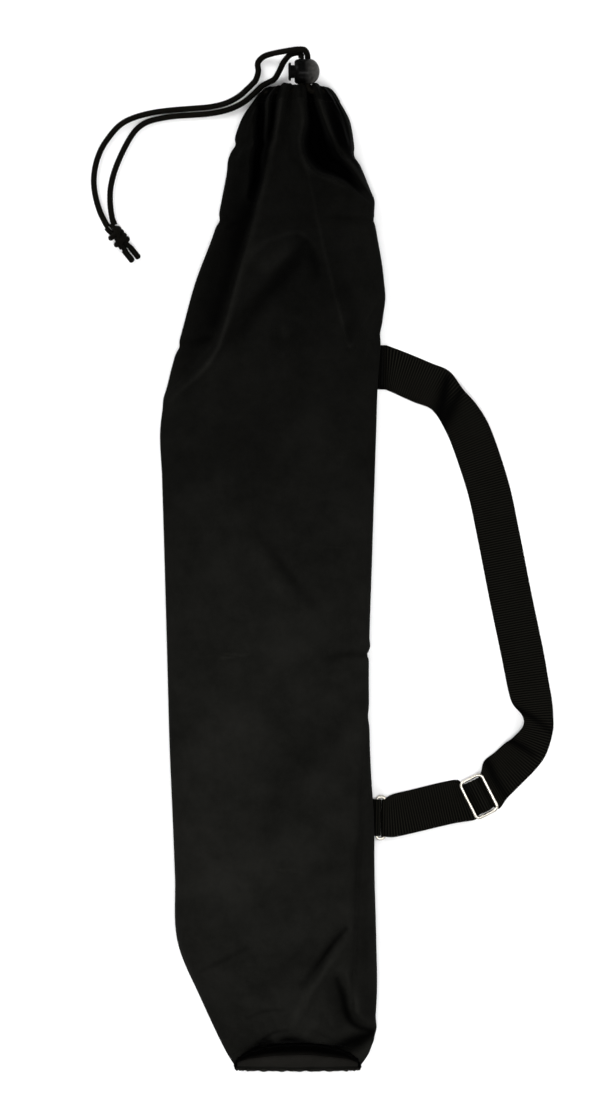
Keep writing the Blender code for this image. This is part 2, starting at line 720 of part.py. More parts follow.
def wire_loop_rings(width, length, corner, sides=10, corner_steps=5):
    """Rings round a bent wire that makes a rectangle with round corners. Sizes are to the wire's middle."""
    rings = []
    for quarter in range(4):
        x_side = 1 if quarter in (0, 3) else -1
        y_side = 1 if quarter in (0, 1) else -1
        for i in range(corner_steps + 1):
            turn = math.pi / 2 * (quarter + i / corner_steps)
            outward = Vector((math.cos(turn), math.sin(turn), 0))
            centre = Vector((x_side * (width / 2 - corner), y_side * (length / 2 - corner), 0))
            middle = centre + outward * corner
            ring = []
            for k in range(sides):
                around = math.tau * k / sides
                offset = outward * math.cos(around) + Vector((0, 0, math.sin(around)))
                ring.append(middle + offset * WIRE / 2)
            rings.append(ring)
    return rings


def build_slider(steel):
    place = Matrix.Translation(SLIDER_CENTRE) @ Matrix.Rotation(SLIDER_TURN, 4, "Z")
    width, length = SLIDER_SIZE
    add_hollow("slider_frame", wire_loop_rings(width - WIRE, length - WIRE, SLIDER_CORNER - WIRE / 2), steel, place)
    reach = length / 2 - WIRE - GAP
    upright = place @ Matrix.Rotation(math.pi / 2, 4, "Z")
    add_turned("slider_bar", [(-reach, 0), (-reach, WIRE / 2), (reach, WIRE / 2), (reach, 0)], steel, upright, 12)


def build_ring(steel):
    place = swing_frame()
    rings = wire_loop_rings(RING_REACH, RING_LENGTH - WIRE, RING_CORNER - WIRE / 2)
    to_bar = Vector((RING_REACH / 2, 0, 0))
    rings = [[point + to_bar for point in ring] for ring in rings]
    add_hollow("strap_ring", rings, steel, place)


def build_ring_tab(webbing):
    """A loop of webbing round the ring's inner bar, with its two ends laid together under the sleeve's edge."""
    place = swing_frame()
    outer = WIRE / 2 + LOOP_CLEARANCE + WEBBING_THICKNESS + 0.0001
    low, high = -outer, -outer + 0.0016
    outline = []
    for degrees in range(-90, 136, 15):
        turn = math.radians(degrees)
        outline.append((outer * math.cos(turn), outer * math.sin(turn)))
    outline += [(-0.0030, high + 0.0006), (TAB_END_X + 0.0025, high), (TAB_END_X, high), (TAB_END_X, low)]
    rings = [[Vector((x, y, z)) for x, z in outline] for y in (-TAB_WIDTH / 2, TAB_WIDTH / 2)]
    tab = add_bar("ring_tab", rings, webbing, place)
    bore = WIRE / 2 + LOOP_CLEARANCE
    reach = TAB_WIDTH / 2 + 0.002
    hole = add_turned("tab_hole_cutter", [(-reach, 0), (-reach, bore), (reach, bore), (reach, 0)], None,
                      place @ Matrix.Rotation(math.pi / 2, 4, "Z"), 16)
    cut(tab, hole)


def main():
    for item in list(bpy.data.objects):
        bpy.data.objects.remove(item)
    nylon = make_material("black_nylon", (0.010, 0.010, 0.009), 0.60)
    tape = make_material("seam_tape", (0.014, 0.014, 0.013), 0.70)
    webbing = make_material("black_webbing", (0.012, 0.012, 0.011), 0.75)
    cord = make_material("braided_cord", (0.013, 0.013, 0.012), 0.70)
    thread = make_material("stitch_thread", (0.016, 0.016, 0.015), 0.60)
    plastic = make_material("lock_plastic", (0.012, 0.012, 0.012), 0.25)
    dark_plastic = make_material("plunger_plastic", (0.008, 0.008, 0.008), 0.35)
    steel = make_material("nickel_wire", (0.62, 0.60, 0.57), 0.22, 1.0)
    build_sleeve(nylon)
    build_base_disc(nylon)
    build_bindings(tape)
    build_mouth_hem(nylon)
    build_drawcord(cord)
    build_tails(cord)
    build_knot(cord)
    build_lock(plastic, dark_plastic, steel)
    build_strap(webbing)
    build_slider(steel)
    build_ring(steel)
    build_ring_tab(webbing)
    build_stitches(thread)


main()
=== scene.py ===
"""The looks of a drawstring carry sleeve for a drawing tube, built round its CAD model. Metres, +Z up."""
import math

import bmesh
import bpy
import numpy as np
from mathutils import Matrix, Vector, noise


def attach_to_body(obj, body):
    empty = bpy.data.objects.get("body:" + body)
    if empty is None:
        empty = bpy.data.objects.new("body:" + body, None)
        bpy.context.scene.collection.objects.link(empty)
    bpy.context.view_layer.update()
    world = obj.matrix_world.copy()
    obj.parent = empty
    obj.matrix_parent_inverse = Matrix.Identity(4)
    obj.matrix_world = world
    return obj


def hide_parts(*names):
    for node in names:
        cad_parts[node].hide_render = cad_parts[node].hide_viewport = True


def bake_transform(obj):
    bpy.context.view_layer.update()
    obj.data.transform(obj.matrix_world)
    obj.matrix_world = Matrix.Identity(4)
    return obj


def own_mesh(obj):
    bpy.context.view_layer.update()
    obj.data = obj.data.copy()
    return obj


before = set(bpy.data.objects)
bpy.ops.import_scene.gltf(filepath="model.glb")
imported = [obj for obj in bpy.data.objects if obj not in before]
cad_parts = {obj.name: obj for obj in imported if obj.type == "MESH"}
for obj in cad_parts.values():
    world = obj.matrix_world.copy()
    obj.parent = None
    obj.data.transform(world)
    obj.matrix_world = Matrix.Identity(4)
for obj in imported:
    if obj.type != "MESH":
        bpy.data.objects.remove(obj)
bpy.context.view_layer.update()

MM = 0.001

# Camera, straight above.
VIEW_CENTRE = (-0.0354, 0.00975)
VIEW_HEIGHT = 0.715
CAMERA_HEIGHT = 2.4
SENSOR = 36.0

# Lights: name, place, where they point, size and power. The floor lies a hair below the object.
MIDDLE = (-0.03, 0.0, 0.0)
LIGHTS = (
    ("key", (-1.5, 1.5, 1.5), MIDDLE, (1.2, 1.2), 44),
    ("fill", (1.7, 0.5, 1.3), MIDDLE, (1.0, 1.6), 24),
    ("foot", (0.2, -1.9, 1.3), MIDDLE, (1.6, 0.8), 11),
    ("top", (-0.05, -0.5, 2.6), (-0.05, -0.15, 0.0), (0.8, 0.8), 31),
)
WORLD_LIGHT = 0.38
FLOOR_HALF = 3.5
FLOOR_DROP = 0.0003

# Free cord: two tails of one braided cord.
CORD_DIAMETER = 0.0038
LOCK_CENTRE = Vector((-0.0348, 0.31855, 0.0167))
CORD_EXIT_Y = 0.3271
CORD_SPACING = 0.0041
BRAID_SKIN = 0.00003
TAIL_A_ROUTE = (
    (-0.0350, 0.3322, 0.0203), (-0.0395, 0.3325, 0.0198), (-0.0440, 0.3323, 0.0168), (-0.0500, 0.3319, 0.0120),
    (-0.0560, 0.3313, 0.0070), (-0.0613, 0.3299, 0.0036), (-0.0650, 0.3261, 0.0021), (-0.0648, 0.3205, 0.0020),
    (-0.0663, 0.3152, 0.0020), (-0.0689, 0.3120, 0.0020), (-0.0722, 0.3088, 0.0020), (-0.0758, 0.3055, 0.0020),
    (-0.0805, 0.3024, 0.0020), (-0.0870, 0.2995, 0.0020), (-0.0960, 0.2975, 0.0020), (-0.1070, 0.2965, 0.0020),
    (-0.1200, 0.2955, 0.0020), (-0.1330, 0.2938, 0.0020), (-0.1450, 0.2907, 0.0020), (-0.1535, 0.2865, 0.0020),
    (-0.1600, 0.2800, 0.0020), (-0.1663, 0.2708, 0.0020), (-0.1702, 0.2605, 0.0020), (-0.1716, 0.2495, 0.0020),
    (-0.1705, 0.2395, 0.0020), (-0.1676, 0.2295, 0.0020), (-0.1641, 0.2222, 0.0020), (-0.1625, 0.2197, 0.0020),
)
TAIL_B_ROUTE = (
    (-0.0402, 0.3308, 0.0152), (-0.0445, 0.3295, 0.0126), (-0.0485, 0.3253, 0.0086), (-0.0512, 0.3201, 0.0052),
    (-0.0543, 0.3155, 0.0030), (-0.0585, 0.3132, 0.0021), (-0.0620, 0.3113, 0.0020), (-0.0650, 0.3086, 0.0020),
    (-0.0682, 0.3055, 0.0020), (-0.0723, 0.3019, 0.0020), (-0.0780, 0.2983, 0.0020), (-0.0860, 0.2952, 0.0020),
    (-0.0960, 0.2932, 0.0020), (-0.1070, 0.2923, 0.0020), (-0.1200, 0.2914, 0.0020), (-0.1300, 0.2897, 0.0020),
    (-0.1370, 0.2876, 0.0020), (-0.1422, 0.2844, 0.0020), (-0.1463, 0.2799, 0.0020), (-0.1506, 0.2728, 0.0020),
    (-0.1553, 0.2630, 0.0020), (-0.1588, 0.2535, 0.0020), (-0.1608, 0.2438, 0.0020), (-0.1609, 0.2340, 0.0020),
    (-0.1596, 0.2250, 0.0020), (-0.1580, 0.2210, 0.0020),
)
KNOT_CENTRE = Vector((-0.1555, 0.2123, 0.0047))
KNOT_TURN = math.radians(-50)
KNOT_BRIDGE = ((-0.0066, 0.0026, 0.0004), (-0.0036, 0.0020, 0.0024), (0.0, 0.0, 0.0030),
               (0.0036, -0.0020, 0.0024), (0.0066, -0.0026, 0.0004))
END_A_ROUTE = ((-0.1520, 0.2043, 0.0020), (-0.1488, 0.2003, 0.0020), (-0.1460, 0.1968, 0.0020))
END_B_ROUTE = ((-0.1478, 0.2062, 0.0020), (-0.1447, 0.2023, 0.0020), (-0.1420, 0.1990, 0.0020))

# Sleeve: distance from the base, left edge, right edge, height.
BASE_Y = -0.3270
SLEEVE_STATIONS = (
    (0.000, -0.0790, 0.0005, 0.0200), (0.012, -0.0862, 0.0078, 0.0225), (0.045, -0.1014, 0.0120, 0.0250),
    (0.083, -0.1170, 0.0118, 0.0265), (0.125, -0.1187, 0.0105, 0.0265), (0.163, -0.1202, 0.0088, 0.0260),
    (0.210, -0.1222, 0.0076, 0.0240), (0.262, -0.1236, 0.0070, 0.0225), (0.330, -0.1255, 0.0090, 0.0205),
    (0.385, -0.1272, 0.0108, 0.0175), (0.415, -0.1283, 0.0118, 0.0160), (0.445, -0.1233, 0.0128, 0.0160),
    (0.480, -0.1138, 0.0155, 0.0185), (0.510, -0.1055, 0.0168, 0.0215), (0.545, -0.0926, 0.0115, 0.0250),
    (0.570, -0.0872, 0.0075, 0.0260), (0.595, -0.0822, -0.0020, 0.0255), (0.615, -0.0758, -0.0065, 0.0240),
    (0.630, -0.0655, -0.0148, 0.0222), (0.639, -0.0582, -0.0202, 0.0205),
)
SLEEVE_FLAT = (0.283, 0.650)
CLOTH = 0.00040
EDGE_HEIGHT_SHARE = 0.36
EDGE_HEIGHT_MOST = 0.0080
EDGE_REACH = 1.25
ARCH_POWER = 2.2
BASE_LEAN = 0.0100
BASE_LEAN_REACH = 0.0500
BASE_CURL_REACH = 0.0280
BASE_CURL = 0.0040
BASE_DRAW = 0.0086
BASE_SPREAD = 0.0014
CREASE_ROUND = 0.0006
CRUMPLE_SIZES = (0.0011, 0.00060, 0.00022)
# The lowest that the front's cloth lies, how softly it settles on that, and the lowest that any cloth lies.
FRONT_FLOOR = 0.0035
FLOOR_SOFTNESS = 0.0012
CLOTH_LOWEST = 0.0003
BASE_STITCHES = 0.0052
HEM_STITCHES = 0.6262
HEM_BOTTOM = 0.6286
HEM_TOP = 0.6370
CORD_ALONG = 0.6325
CORD_BEND = 0.0040
HEM_THICKNESS = 0.0070
HEM_LIP = 0.6268
# How deep below the surface the hem's outside ends, and how far down and up it follows the folds.
HEM_DEEP = 0.0040
HEM_FOLLOWS = (-0.0040, 0.0030)
# The base panel's lines, each onward and up from the foot's edge or, the last two, from the front's edge.
BASE_EDGE = 0.0016
BASE_SHELF = (0.0075, 0.0052)
BASE_BROW = (0.0100, 0.0046)
BASE_HOLLOW = (0.0026, -0.0085)
BASE_UNDER = (0.0018, -0.0030)
BASE_HOLLOW_LOWEST = 0.0016
BASE_THICKNESS = 0.0006
BASE_SEAM_RADIUS = 0.00075
# The tapes inside: where they run along and round the sleeve, and how deep their two faces lie.
BASE_TAPE_RUN = (0.014, 0.0215)
BASE_TAPE_DEPTHS = (0.0011, 0.0018)
SIDE_TAPE_RUN = (0.042, 0.612)
SIDE_TAPE_DEGREES = (13, 28)
SIDE_TAPE_DEPTHS = (0.0013, 0.0020)
SIDE_TAPE_INWARDS = (-0.35, 0, -1.0)
# The base panel's painted shading from its foot to the front's edge: painted light on the foot, painted shade
# where it folds in.
BASE_PAINTED_SHADING = ((0.0, 1.0, 1.7, 2.2, 5.0), (1.7, 1.5, 1.1, 0.05, 0.02))
# The base seam's painted shading by how far up its angle points: painted light underneath, painted shade on
# top.
BASE_SEAM_PAINTED_SHADING = ((-0.1, 0.02), (2.2, 0.04))
# The hem's section: distance from the base and depth below the sleeve's surface, once round.
HEM_PROFILE = (
    (0.6272, 0.0001), (0.6284, -0.0001), (0.6305, -0.0002), (0.6335, 0.0001), (0.6358, 0.0009),
    (0.6370, 0.0026), (0.6364, 0.0046), (0.6340, 0.0062), (0.6308, 0.0064), (0.6292, 0.0048),
    (0.6289, 0.0020), (0.6287, 0.0000), (0.6276, -0.0001),
)

# Strap.
WEBBING = 0.0275
WEBBING_THICKNESS = 0.0011
RIB_PITCH = 0.0016
RIB_HEIGHT = 0.00020
RING_BAND = 0.0244
SLIDER_BAND = 0.0220
STRAP_FLOOR = 0.00065
STRAP_LOWEST = 0.00005
STRAP_SPACING = 0.00034
STRAP_CUT = 0.0110
STRAP_SEWN = 0.0062
# Bar tacks, length and width, and how far before the slider's bar the loop's tack lies.
STRAP_TACK = (0.0230, 0.0016)
TAB_TACK = (0.0170, 0.0016)
LOOP_TACK = (0.0220, 0.0018)
LOOP_TACK_BACK = 0.0178
# Places on the strap: x, y, heading in degrees, width, z, and roll in degrees.
STRAP_STATIONS = (
    (0.0182, 0.1284, -1, 0.0288, 0.00065, 0), (0.0272, 0.1249, -16, 0.0276, 0.00065, 0),
    (0.0420, 0.1185, -24, 0.0278, 0.00120, 0), (0.0525, 0.1140, -31, 0.0272, 0.00320, 8),
    (0.0592, 0.1060, -48, 0.0246, 0.00560, 16), (0.0665, 0.0965, -60, 0.0262, 0.00420, 10),
    (0.0740, 0.0820, -67, 0.0274, 0.00180, 3), (0.0846, 0.0501, -75, 0.0275, 0.00090, 0),
    (0.0911, 0.0202, -78, 0.0275, 0.00075, 0), (0.0990, -0.0200, -79, 0.0275, 0.00075, 0),
    (0.1069, -0.0580, -80, 0.0275, 0.00090, 0), (0.1106, -0.0780, -83, 0.0272, 0.00180, -4),
    (0.1130, -0.0885, -84, 0.0262, 0.00340, -8), (0.1166, -0.0975, -88, 0.0208, 0.00480, -13),
    (0.1166, -0.1062, -100, 0.0208, 0.00550, -14), (0.1112, -0.1172, -115, 0.0248, 0.00450, -8),
    (0.1056, -0.1238, -128, 0.0266, 0.00340, -6), (0.0975, -0.1318, -138, 0.0268, 0.00230, 0),
    (0.0895, -0.1392, -148, 0.0284, 0.00260, 0),
)
# The line that the strap swings about runs from the low point to the top one.
SWING_TOP = Vector((0.0175, 0.1285, 0.0012))
SWING_LOW = Vector((0.0122, -0.1640, 0.0029))
WIRE = 0.0021
LOOP_CLEARANCE = 0.0003
LAYER_GAP = 0.00025
SLIDER_CENTRE = Vector((0.0783, -0.1499, 0.00595))
SLIDER_TURN = math.radians(27)
SLIDER_SIZE = (0.0174, 0.0275)
SLIDER_CORNER = 0.0040
RING_REACH = 0.0051
RING_LENGTH = 0.0292
RING_CORNER = 0.0031
TAB_WIDTH = 0.0238
TAB_END_X = -0.0058
TAB_ROOM = 0.0005

# Cord lock. Places along its axis are measured from its centre.
LOCK_RADIUS = 0.00825
LOCK_DOME_START = 0.0030
LOCK_CLOSED_END = 0.0098
LOCK_OPEN_END = -0.0064
LOCK_BORE_RADIUS = 0.0045
LOCK_BORE_END = 0.0084
LOCK_SLOT = (0.0092, 0.0046)
# The barrel's painted shading: painted shade at the left, and a painted highlight added over a run along its
# axis.
LOCK_PAINTED_SHADE = 0.04
LOCK_PAINTED_HIGHLIGHT = 3.3
LOCK_PAINTED_HIGHLIGHT_RUN = (0.0, 0.0072)
PLUNGER_RADIUS = 0.0042
PLUNGER_END = 0.0053
PLUNGER_TRAVEL = 0.0020
BUTTON_SHAPE = (-0.0104, -0.0087, 0.0058)
SPRING_WIRE = 0.0005
SPRING_RADIUS = 0.0030
SPRING_TURNS = 2.0
SPRING_CLEARANCE = 0.0003

UV_NAME = "cloth"
# Name of the vertex attribute that carries painted light and shade.
PAINTED_SHADING_NAME = "tone"


# Mesh helpers.

def add_object(name, vertices, faces, material, loops=None, sharp_angle=60):
    """A mesh object whose faces are turned outwards. Loops are its UV pairs, corner by corner."""
    mesh = bpy.data.meshes.new(name)
    mesh.from_pydata(vertices, [], faces)
    if loops is not None:
        layer = mesh.uv_layers.new(name=UV_NAME)
        layer.data.foreach_set("uv", np.asarray(loops, np.float32).ravel())
    cleaner = bmesh.new()
    cleaner.from_mesh(mesh)
    bmesh.ops.recalc_face_normals(cleaner, faces=cleaner.faces)
    cleaner.to_mesh(mesh)
    cleaner.free()
    mesh.materials.append(material)
    mesh.shade_smooth()
    mesh.set_sharp_from_angle(angle=math.radians(sharp_angle))
    set_painted_shading(mesh, np.ones(len(mesh.vertices)))
    made = bpy.data.objects.new(name, mesh)
    bpy.context.scene.collection.objects.link(made)
    return made


def set_painted_shading(mesh, values):
    """Stores the painted shade (below 1) and painted light (above 1) of the material at each vertex."""
    layer = mesh.attributes.get(PAINTED_SHADING_NAME) or mesh.attributes.new(PAINTED_SHADING_NAME, "FLOAT", "POINT")
    layer.data.foreach_set("value", np.asarray(values, np.float32).ravel())


def add_grid(name, points, material, along, across, round_closed=False, capped=False, row_closed=False):
    """A surface through a grid of points. Along and across are each row's and each column's place in metres."""
    rows, columns = points.shape[:2]
    last_row = rows if row_closed else rows - 1
    last_column = columns if round_closed else columns - 1
    r, c = np.meshgrid(np.arange(last_row), np.arange(last_column), indexing="ij")
    next_r, next_c = (r + 1) % rows, (c + 1) % columns
    corners = ((r, c, r, c), (r, next_c, r, c + 1), (next_r, next_c, r + 1, c + 1), (next_r, c, r + 1, c))
    faces = np.stack([a * columns + b for a, b, _, _ in corners], -1).reshape(-1, 4).tolist()
    along = np.append(along, 2 * along[-1] - along[-2])
    across = np.append(across, 2 * across[-1] - across[-2])
    loops = np.stack([np.stack([across[b], along[a]], -1) for _, _, a, b in corners], -2).reshape(-1, 2)
    if capped:
        faces += [list(range(columns)), list(range((rows - 1) * columns, rows * columns))]
        loops = np.concatenate([loops, np.zeros((2 * columns, 2))])
    return add_object(name, points.reshape(-1, 3).tolist(), faces, material, loops)


def smooth_curve(points, steps):
    """Points on a Catmull-Rom curve through the given ones."""
    points = np.array(points, float)
    padded = np.concatenate([[2 * points[0] - points[1]], points, [2 * points[-1] - points[-2]]])
    t = np.arange(1, steps + 1)[:, None] / steps
    parts = [points[:1]]
    for a, b, c, d in zip(padded, padded[1:], padded[2:], padded[3:]):
        parts.append(0.5 * (2 * b + (c - a) * t + (2 * a - 5 * b + 4 * c - d) * t ** 2
                            + (3 * b - a - 3 * c + d) * t ** 3))
    return np.concatenate(parts)


def distances(points):
    """Each point's distance along the line, from its start."""
    return np.concatenate([[0], np.cumsum(np.linalg.norm(np.diff(points, axis=0), axis=1))])


def at_places(points, places):
    """Points at the given distances along a line."""
    reach = distances(points)
    return np.stack([np.interp(places, reach, column) for column in points.T], -1)


def evenly(points, spacing):
    """The same line with points at even spacing."""
    points = np.array(points, float)
    length = distances(points)[-1]
    count = max(2, round(length / spacing) + 1)
    return at_places(points, np.linspace(0, length, count))


def full_turn(steps):
    """Even angles once round."""
    return np.arange(steps) / steps * math.tau


def arc(x, z, radius, degrees):
    """Places (x, z) on an arc round a centre, one for each angle."""
    turns = [math.radians(angle) for angle in degrees]
    return [(x + radius * math.cos(turn), z + radius * math.sin(turn)) for turn in turns]


def path_frames(path):
    """Two unit vectors square to the path at each point, turned as little as possible along it."""
    onward = np.gradient(path, axis=0)
    onward /= np.linalg.norm(onward, axis=1)[:, None]
    side = np.cross(onward[0], (0, 0, 1.0))
    if np.linalg.norm(side) < 1e-3:
        side = np.cross(onward[0], (1.0, 0, 0))
    sides = []
    for direction in onward:
        side = side - direction * side.dot(direction)
        side /= np.linalg.norm(side)
        sides.append(side)
    sides = np.array(sides)
    return sides, np.cross(onward, sides)


def add_tube(name, path, radius, material, sides=12, bump=None, closed=False, capped=True):
    """A tube along a path. Radius is one number or one for each point; bump adds to it by place and angle."""
    path = np.array(path, float)
    first, second = path_frames(path)
    turns = full_turn(sides)
    radius = np.broadcast_to(np.asarray(radius, float), len(path))[:, None] * np.ones(sides)
    places = distances(path)
    if bump:
        radius = radius + bump(places[:, None], turns[None, :])
    points = path[:, None, :] + radius[..., None] * (
        np.cos(turns)[None, :, None] * first[:, None, :] + np.sin(turns)[None, :, None] * second[:, None, :])
    around = turns * float(np.mean(radius))
    return add_grid(name, points, material, places, around, round_closed=True, capped=capped and not closed,
                    row_closed=closed)


def place_object(made, matrix):
    made.data.transform(matrix)
    return made


def stand_in(piece, slot, *nodes):
    """The piece stands for the CAD nodes, which it hides. The slot is not used."""
    if nodes:
        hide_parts(*nodes)


def attach(piece, body, slot, *nodes):
    """The same for a piece that moves with one body."""
    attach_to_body(piece, body)
    stand_in(piece, slot, *nodes)


def turned(name, profile, material, matrix, steps=64):
    """A piece turned round local X from (x, radius) pairs that start and end on the axis."""
    profile = np.array(profile, float)
    turns = full_turn(steps)
    rings = np.stack([np.broadcast_to(profile[1:-1, :1], (len(profile) - 2, steps)),
                      profile[1:-1, 1:] * np.cos(turns), profile[1:-1, 1:] * np.sin(turns)], -1)
    count = len(profile) - 2
    faces = []
    for row in range(count - 1):
        for i in range(steps):
            j = (i + 1) % steps
            faces.append((row * steps + i, row * steps + j, (row + 1) * steps + j, (row + 1) * steps + i))
    vertices = rings.reshape(-1, 3).tolist()
    vertices += [(profile[0, 0], 0, 0), (profile[-1, 0], 0, 0)]
    for i in range(steps):
        j = (i + 1) % steps
        faces.append((count * steps, j, i))
        faces.append((count * steps + 1, (count - 1) * steps + i, (count - 1) * steps + j))
    made = add_object(name, vertices, faces, material, sharp_angle=35)
    return place_object(made, matrix)


def carve(target, cutter):
    """Takes the cutter's shape out of the target and removes the cutter."""
    modifier = target.modifiers.new("carve", "BOOLEAN")
    modifier.operation = "DIFFERENCE"
    modifier.object = cutter
    depsgraph = bpy.context.evaluated_depsgraph_get()
    mesh = bpy.data.meshes.new_from_object(target.evaluated_get(depsgraph))
    target.modifiers.clear()
    target.data = mesh
    bpy.data.objects.remove(cutter)


# Materials.

def add_node(material, kind, **values):
    made = material.node_tree.nodes.new(kind)
    for key, value in values.items():
        if key in made.inputs:
            made.inputs[key].default_value = value
        else:
            setattr(made, key, value)
    return made


def join(material, source, output, target, socket):
    """Links two nodes. A name shared by several outputs means the one in use."""
    found = source.outputs[output]
    if isinstance(output, str):
        found = next(port for port in source.outputs if port.name == output and port.enabled)
    material.node_tree.links.new(found, target.inputs[socket])


def new_material(name, metallic=0.0, specular=0.5, sheen=0.0, sheen_roughness=0.5, coat=0.0):
    material = bpy.data.materials.new(name)
    material.use_nodes = True
    shader = material.node_tree.nodes["Principled BSDF"]
    shader.inputs["Metallic"].default_value = metallic
    shader.inputs["Specular IOR Level"].default_value = specular
    shader.inputs["Sheen Weight"].default_value = sheen
    shader.inputs["Sheen Roughness"].default_value = sheen_roughness
    shader.inputs["Coat Weight"].default_value = coat
    return material, shader


def object_noise(material, scale, detail=3.0, roughness=0.55, stretch=(1, 1, 1)):
    """Noise over the object's own coordinates. Scale is in cycles per metre."""
    place = add_node(material, "ShaderNodeTexCoord")
    mapping = add_node(material, "ShaderNodeMapping")
    mapping.inputs["Scale"].default_value = stretch
    texture = add_node(material, "ShaderNodeTexNoise", Scale=scale, Detail=detail, Roughness=roughness)
    join(material, place, "Object", mapping, "Vector")
    join(material, mapping, "Vector", texture, "Vector")
    return texture


def ramp_between(material, source, low, high, low_at=0.35, high_at=0.65):
    """A colour that runs from low to high with the source."""
    ramp = add_node(material, "ShaderNodeValToRGB")
    ramp.color_ramp.elements[0].position = low_at
    ramp.color_ramp.elements[0].color = (*low, 1)
    ramp.color_ramp.elements[1].position = high_at
    ramp.color_ramp.elements[1].color = (*high, 1)
    join(material, source, 0, ramp, "Fac")
    return ramp


def value_between(material, source, low, high):
    mapped = add_node(material, "ShaderNodeMapRange")
    mapped.inputs["To Min"].default_value = low
    mapped.inputs["To Max"].default_value = high
    join(material, source, 0, mapped, "Value")
    return mapped


def waves(material, vector_source, vector_output, pitch, axis):
    """Even stripes along one axis, one per pitch in metres."""
    texture = add_node(material, "ShaderNodeTexWave", bands_direction=axis)
    texture.inputs["Scale"].default_value = math.tau / pitch / 20.0
    texture.inputs["Distortion"].default_value = 0.0
    join(material, vector_source, vector_output, texture, "Vector")
    return texture


def combine(material, operation, first, second):
    made = add_node(material, "ShaderNodeMath", operation=operation)
    join(material, first, 0, made, 0)
    if isinstance(second, float):
        made.inputs[1].default_value = second
    else:
        join(material, second, 0, made, 1)
    return made


def add_bump(material, shader, sources):
    """Bumps laid over each other, each (source, strength, distance in metres)."""
    previous = None
    for source, strength, distance in sources:
        bump = add_node(material, "ShaderNodeBump")
        bump.inputs["Strength"].default_value = strength
        bump.inputs["Distance"].default_value = distance
        join(material, source, 0, bump, "Height")
        if previous:
            join(material, previous, "Normal", bump, "Normal")
        previous = bump
    join(material, previous, "Normal", shader, "Normal")


def with_painted_shading(material, source, output):
    """The colour times the piece's painted shading: painted shade below 1, painted light above 1."""
    tone = add_node(material, "ShaderNodeAttribute", attribute_name=PAINTED_SHADING_NAME)
    scaled = add_node(material, "ShaderNodeVectorMath", operation="SCALE")
    join(material, source, output, scaled, 0)
    join(material, tone, "Fac", scaled, "Scale")
    return scaled


def mixed(material, tone, pale, share):
    """The tone, with the pale colour laid over it by the share."""
    mix = add_node(material, "ShaderNodeMix", data_type="RGBA")
    mix.inputs["B"].default_value = (*pale, 1)
    material.node_tree.links.new(share.outputs[0], mix.inputs[0])
    material.node_tree.links.new(tone.outputs[0], mix.inputs["A"])
    return mix


def times(colour, factors):
    return [value * factor for value, factor in zip(colour, factors)]


def wire_up(material, shader, colour, grain, rough, bumps):
    """Joins a finish to its shader: a colour, a roughness between two values over a grain, and bumps."""
    join(material, colour, 0, shader, "Base Color")
    join(material, value_between(material, grain, *rough), 0, shader, "Roughness")
    add_bump(material, shader, bumps)
    return material


def woven_nylon(name, dark, light, roughness, pitch=0.0005, specular=0.004, sheen=0.004):
    """Close plain-weave nylon: two crossing threads, a slow drift in tone, and faint rubbed streaks."""
    material, shader = new_material(name, specular=specular, sheen=sheen, sheen_roughness=0.45)
    tone = ramp_between(material, object_noise(material, 30.0, 9.0, 0.72), dark, light)
    streaks = object_noise(material, 60.0, 5.0, 0.7, stretch=(0.35, 2.4, 1))
    rubbed = ramp_between(material, streaks, (0, 0, 0), (1, 1, 1), 0.66, 0.80)
    share = combine(material, "MULTIPLY", rubbed, 0.35)
    mix = mixed(material, tone, times(light, (1.9, 1.9, 1.85)), share)
    grain = object_noise(material, 900.0, 2.0)
    place = add_node(material, "ShaderNodeTexCoord")
    warp, weft = (waves(material, place, "Object", pitch, axis) for axis in "XY")
    weave = combine(material, "MULTIPLY", warp, weft)
    fine = object_noise(material, 160.0, 5.0, 0.6)
    colour = with_painted_shading(material, mix, "Result")
    return wire_up(material, shader, colour, grain, (roughness - 0.06, roughness + 0.06),
                   ((fine, 0.35, 0.0004), (weave, 0.30, 0.00006)))


def uv_source(material):
    return add_node(material, "ShaderNodeUVMap", uv_map=UV_NAME)


def woven_band(name, dark, light, roughness, specular=0.009, sheen=0.004):
    """Heavy webbing. Its ribs come from the mesh; this adds painted highlights along the ribs and the chevrons
    of the yarn.
    """
    material, shader = new_material(name, specular=specular, sheen=sheen)
    uv = uv_source(material)
    ribs = waves(material, uv, "UV", RIB_PITCH, "Y")
    columns = waves(material, uv, "UV", 0.0023, "X")
    chevrons = waves(material, uv, "UV", 0.00085, "DIAGONAL")
    tone = ramp_between(material, object_noise(material, 45.0, 4.0), dark, light)
    # Painted highlights: the pale colour laid over the crests of the rib stripes.
    share = combine(material, "POWER", ribs, 3.0)
    mix = mixed(material, tone, times(light, (9.0, 8.5, 7.0)), share)
    grain = object_noise(material, 1400.0, 2.0)
    colour = with_painted_shading(material, mix, "Result")
    return wire_up(material, shader, colour, grain, (roughness - 0.08, roughness + 0.08),
                   ((columns, 0.25, 0.00008), (chevrons, 0.4, 0.00010), (grain, 0.3, 0.00005)))


def yarn(name, dark, light, roughness, pitch, specular=0.012, sheen=0.005):
    """Fine yarn for cord and thread: short strands that lean across the piece."""
    material, shader = new_material(name, specular=specular, sheen=sheen)
    strands = waves(material, uv_source(material), "UV", pitch, "DIAGONAL")
    grain = object_noise(material, 1600.0, 3.0)
    tone = ramp_between(material, grain, dark, light, 0.3, 0.7)
    return wire_up(material, shader, tone, grain, (roughness - 0.08, roughness + 0.08),
                   ((strands, 0.6, 0.00008), (grain, 0.25, 0.00004)))


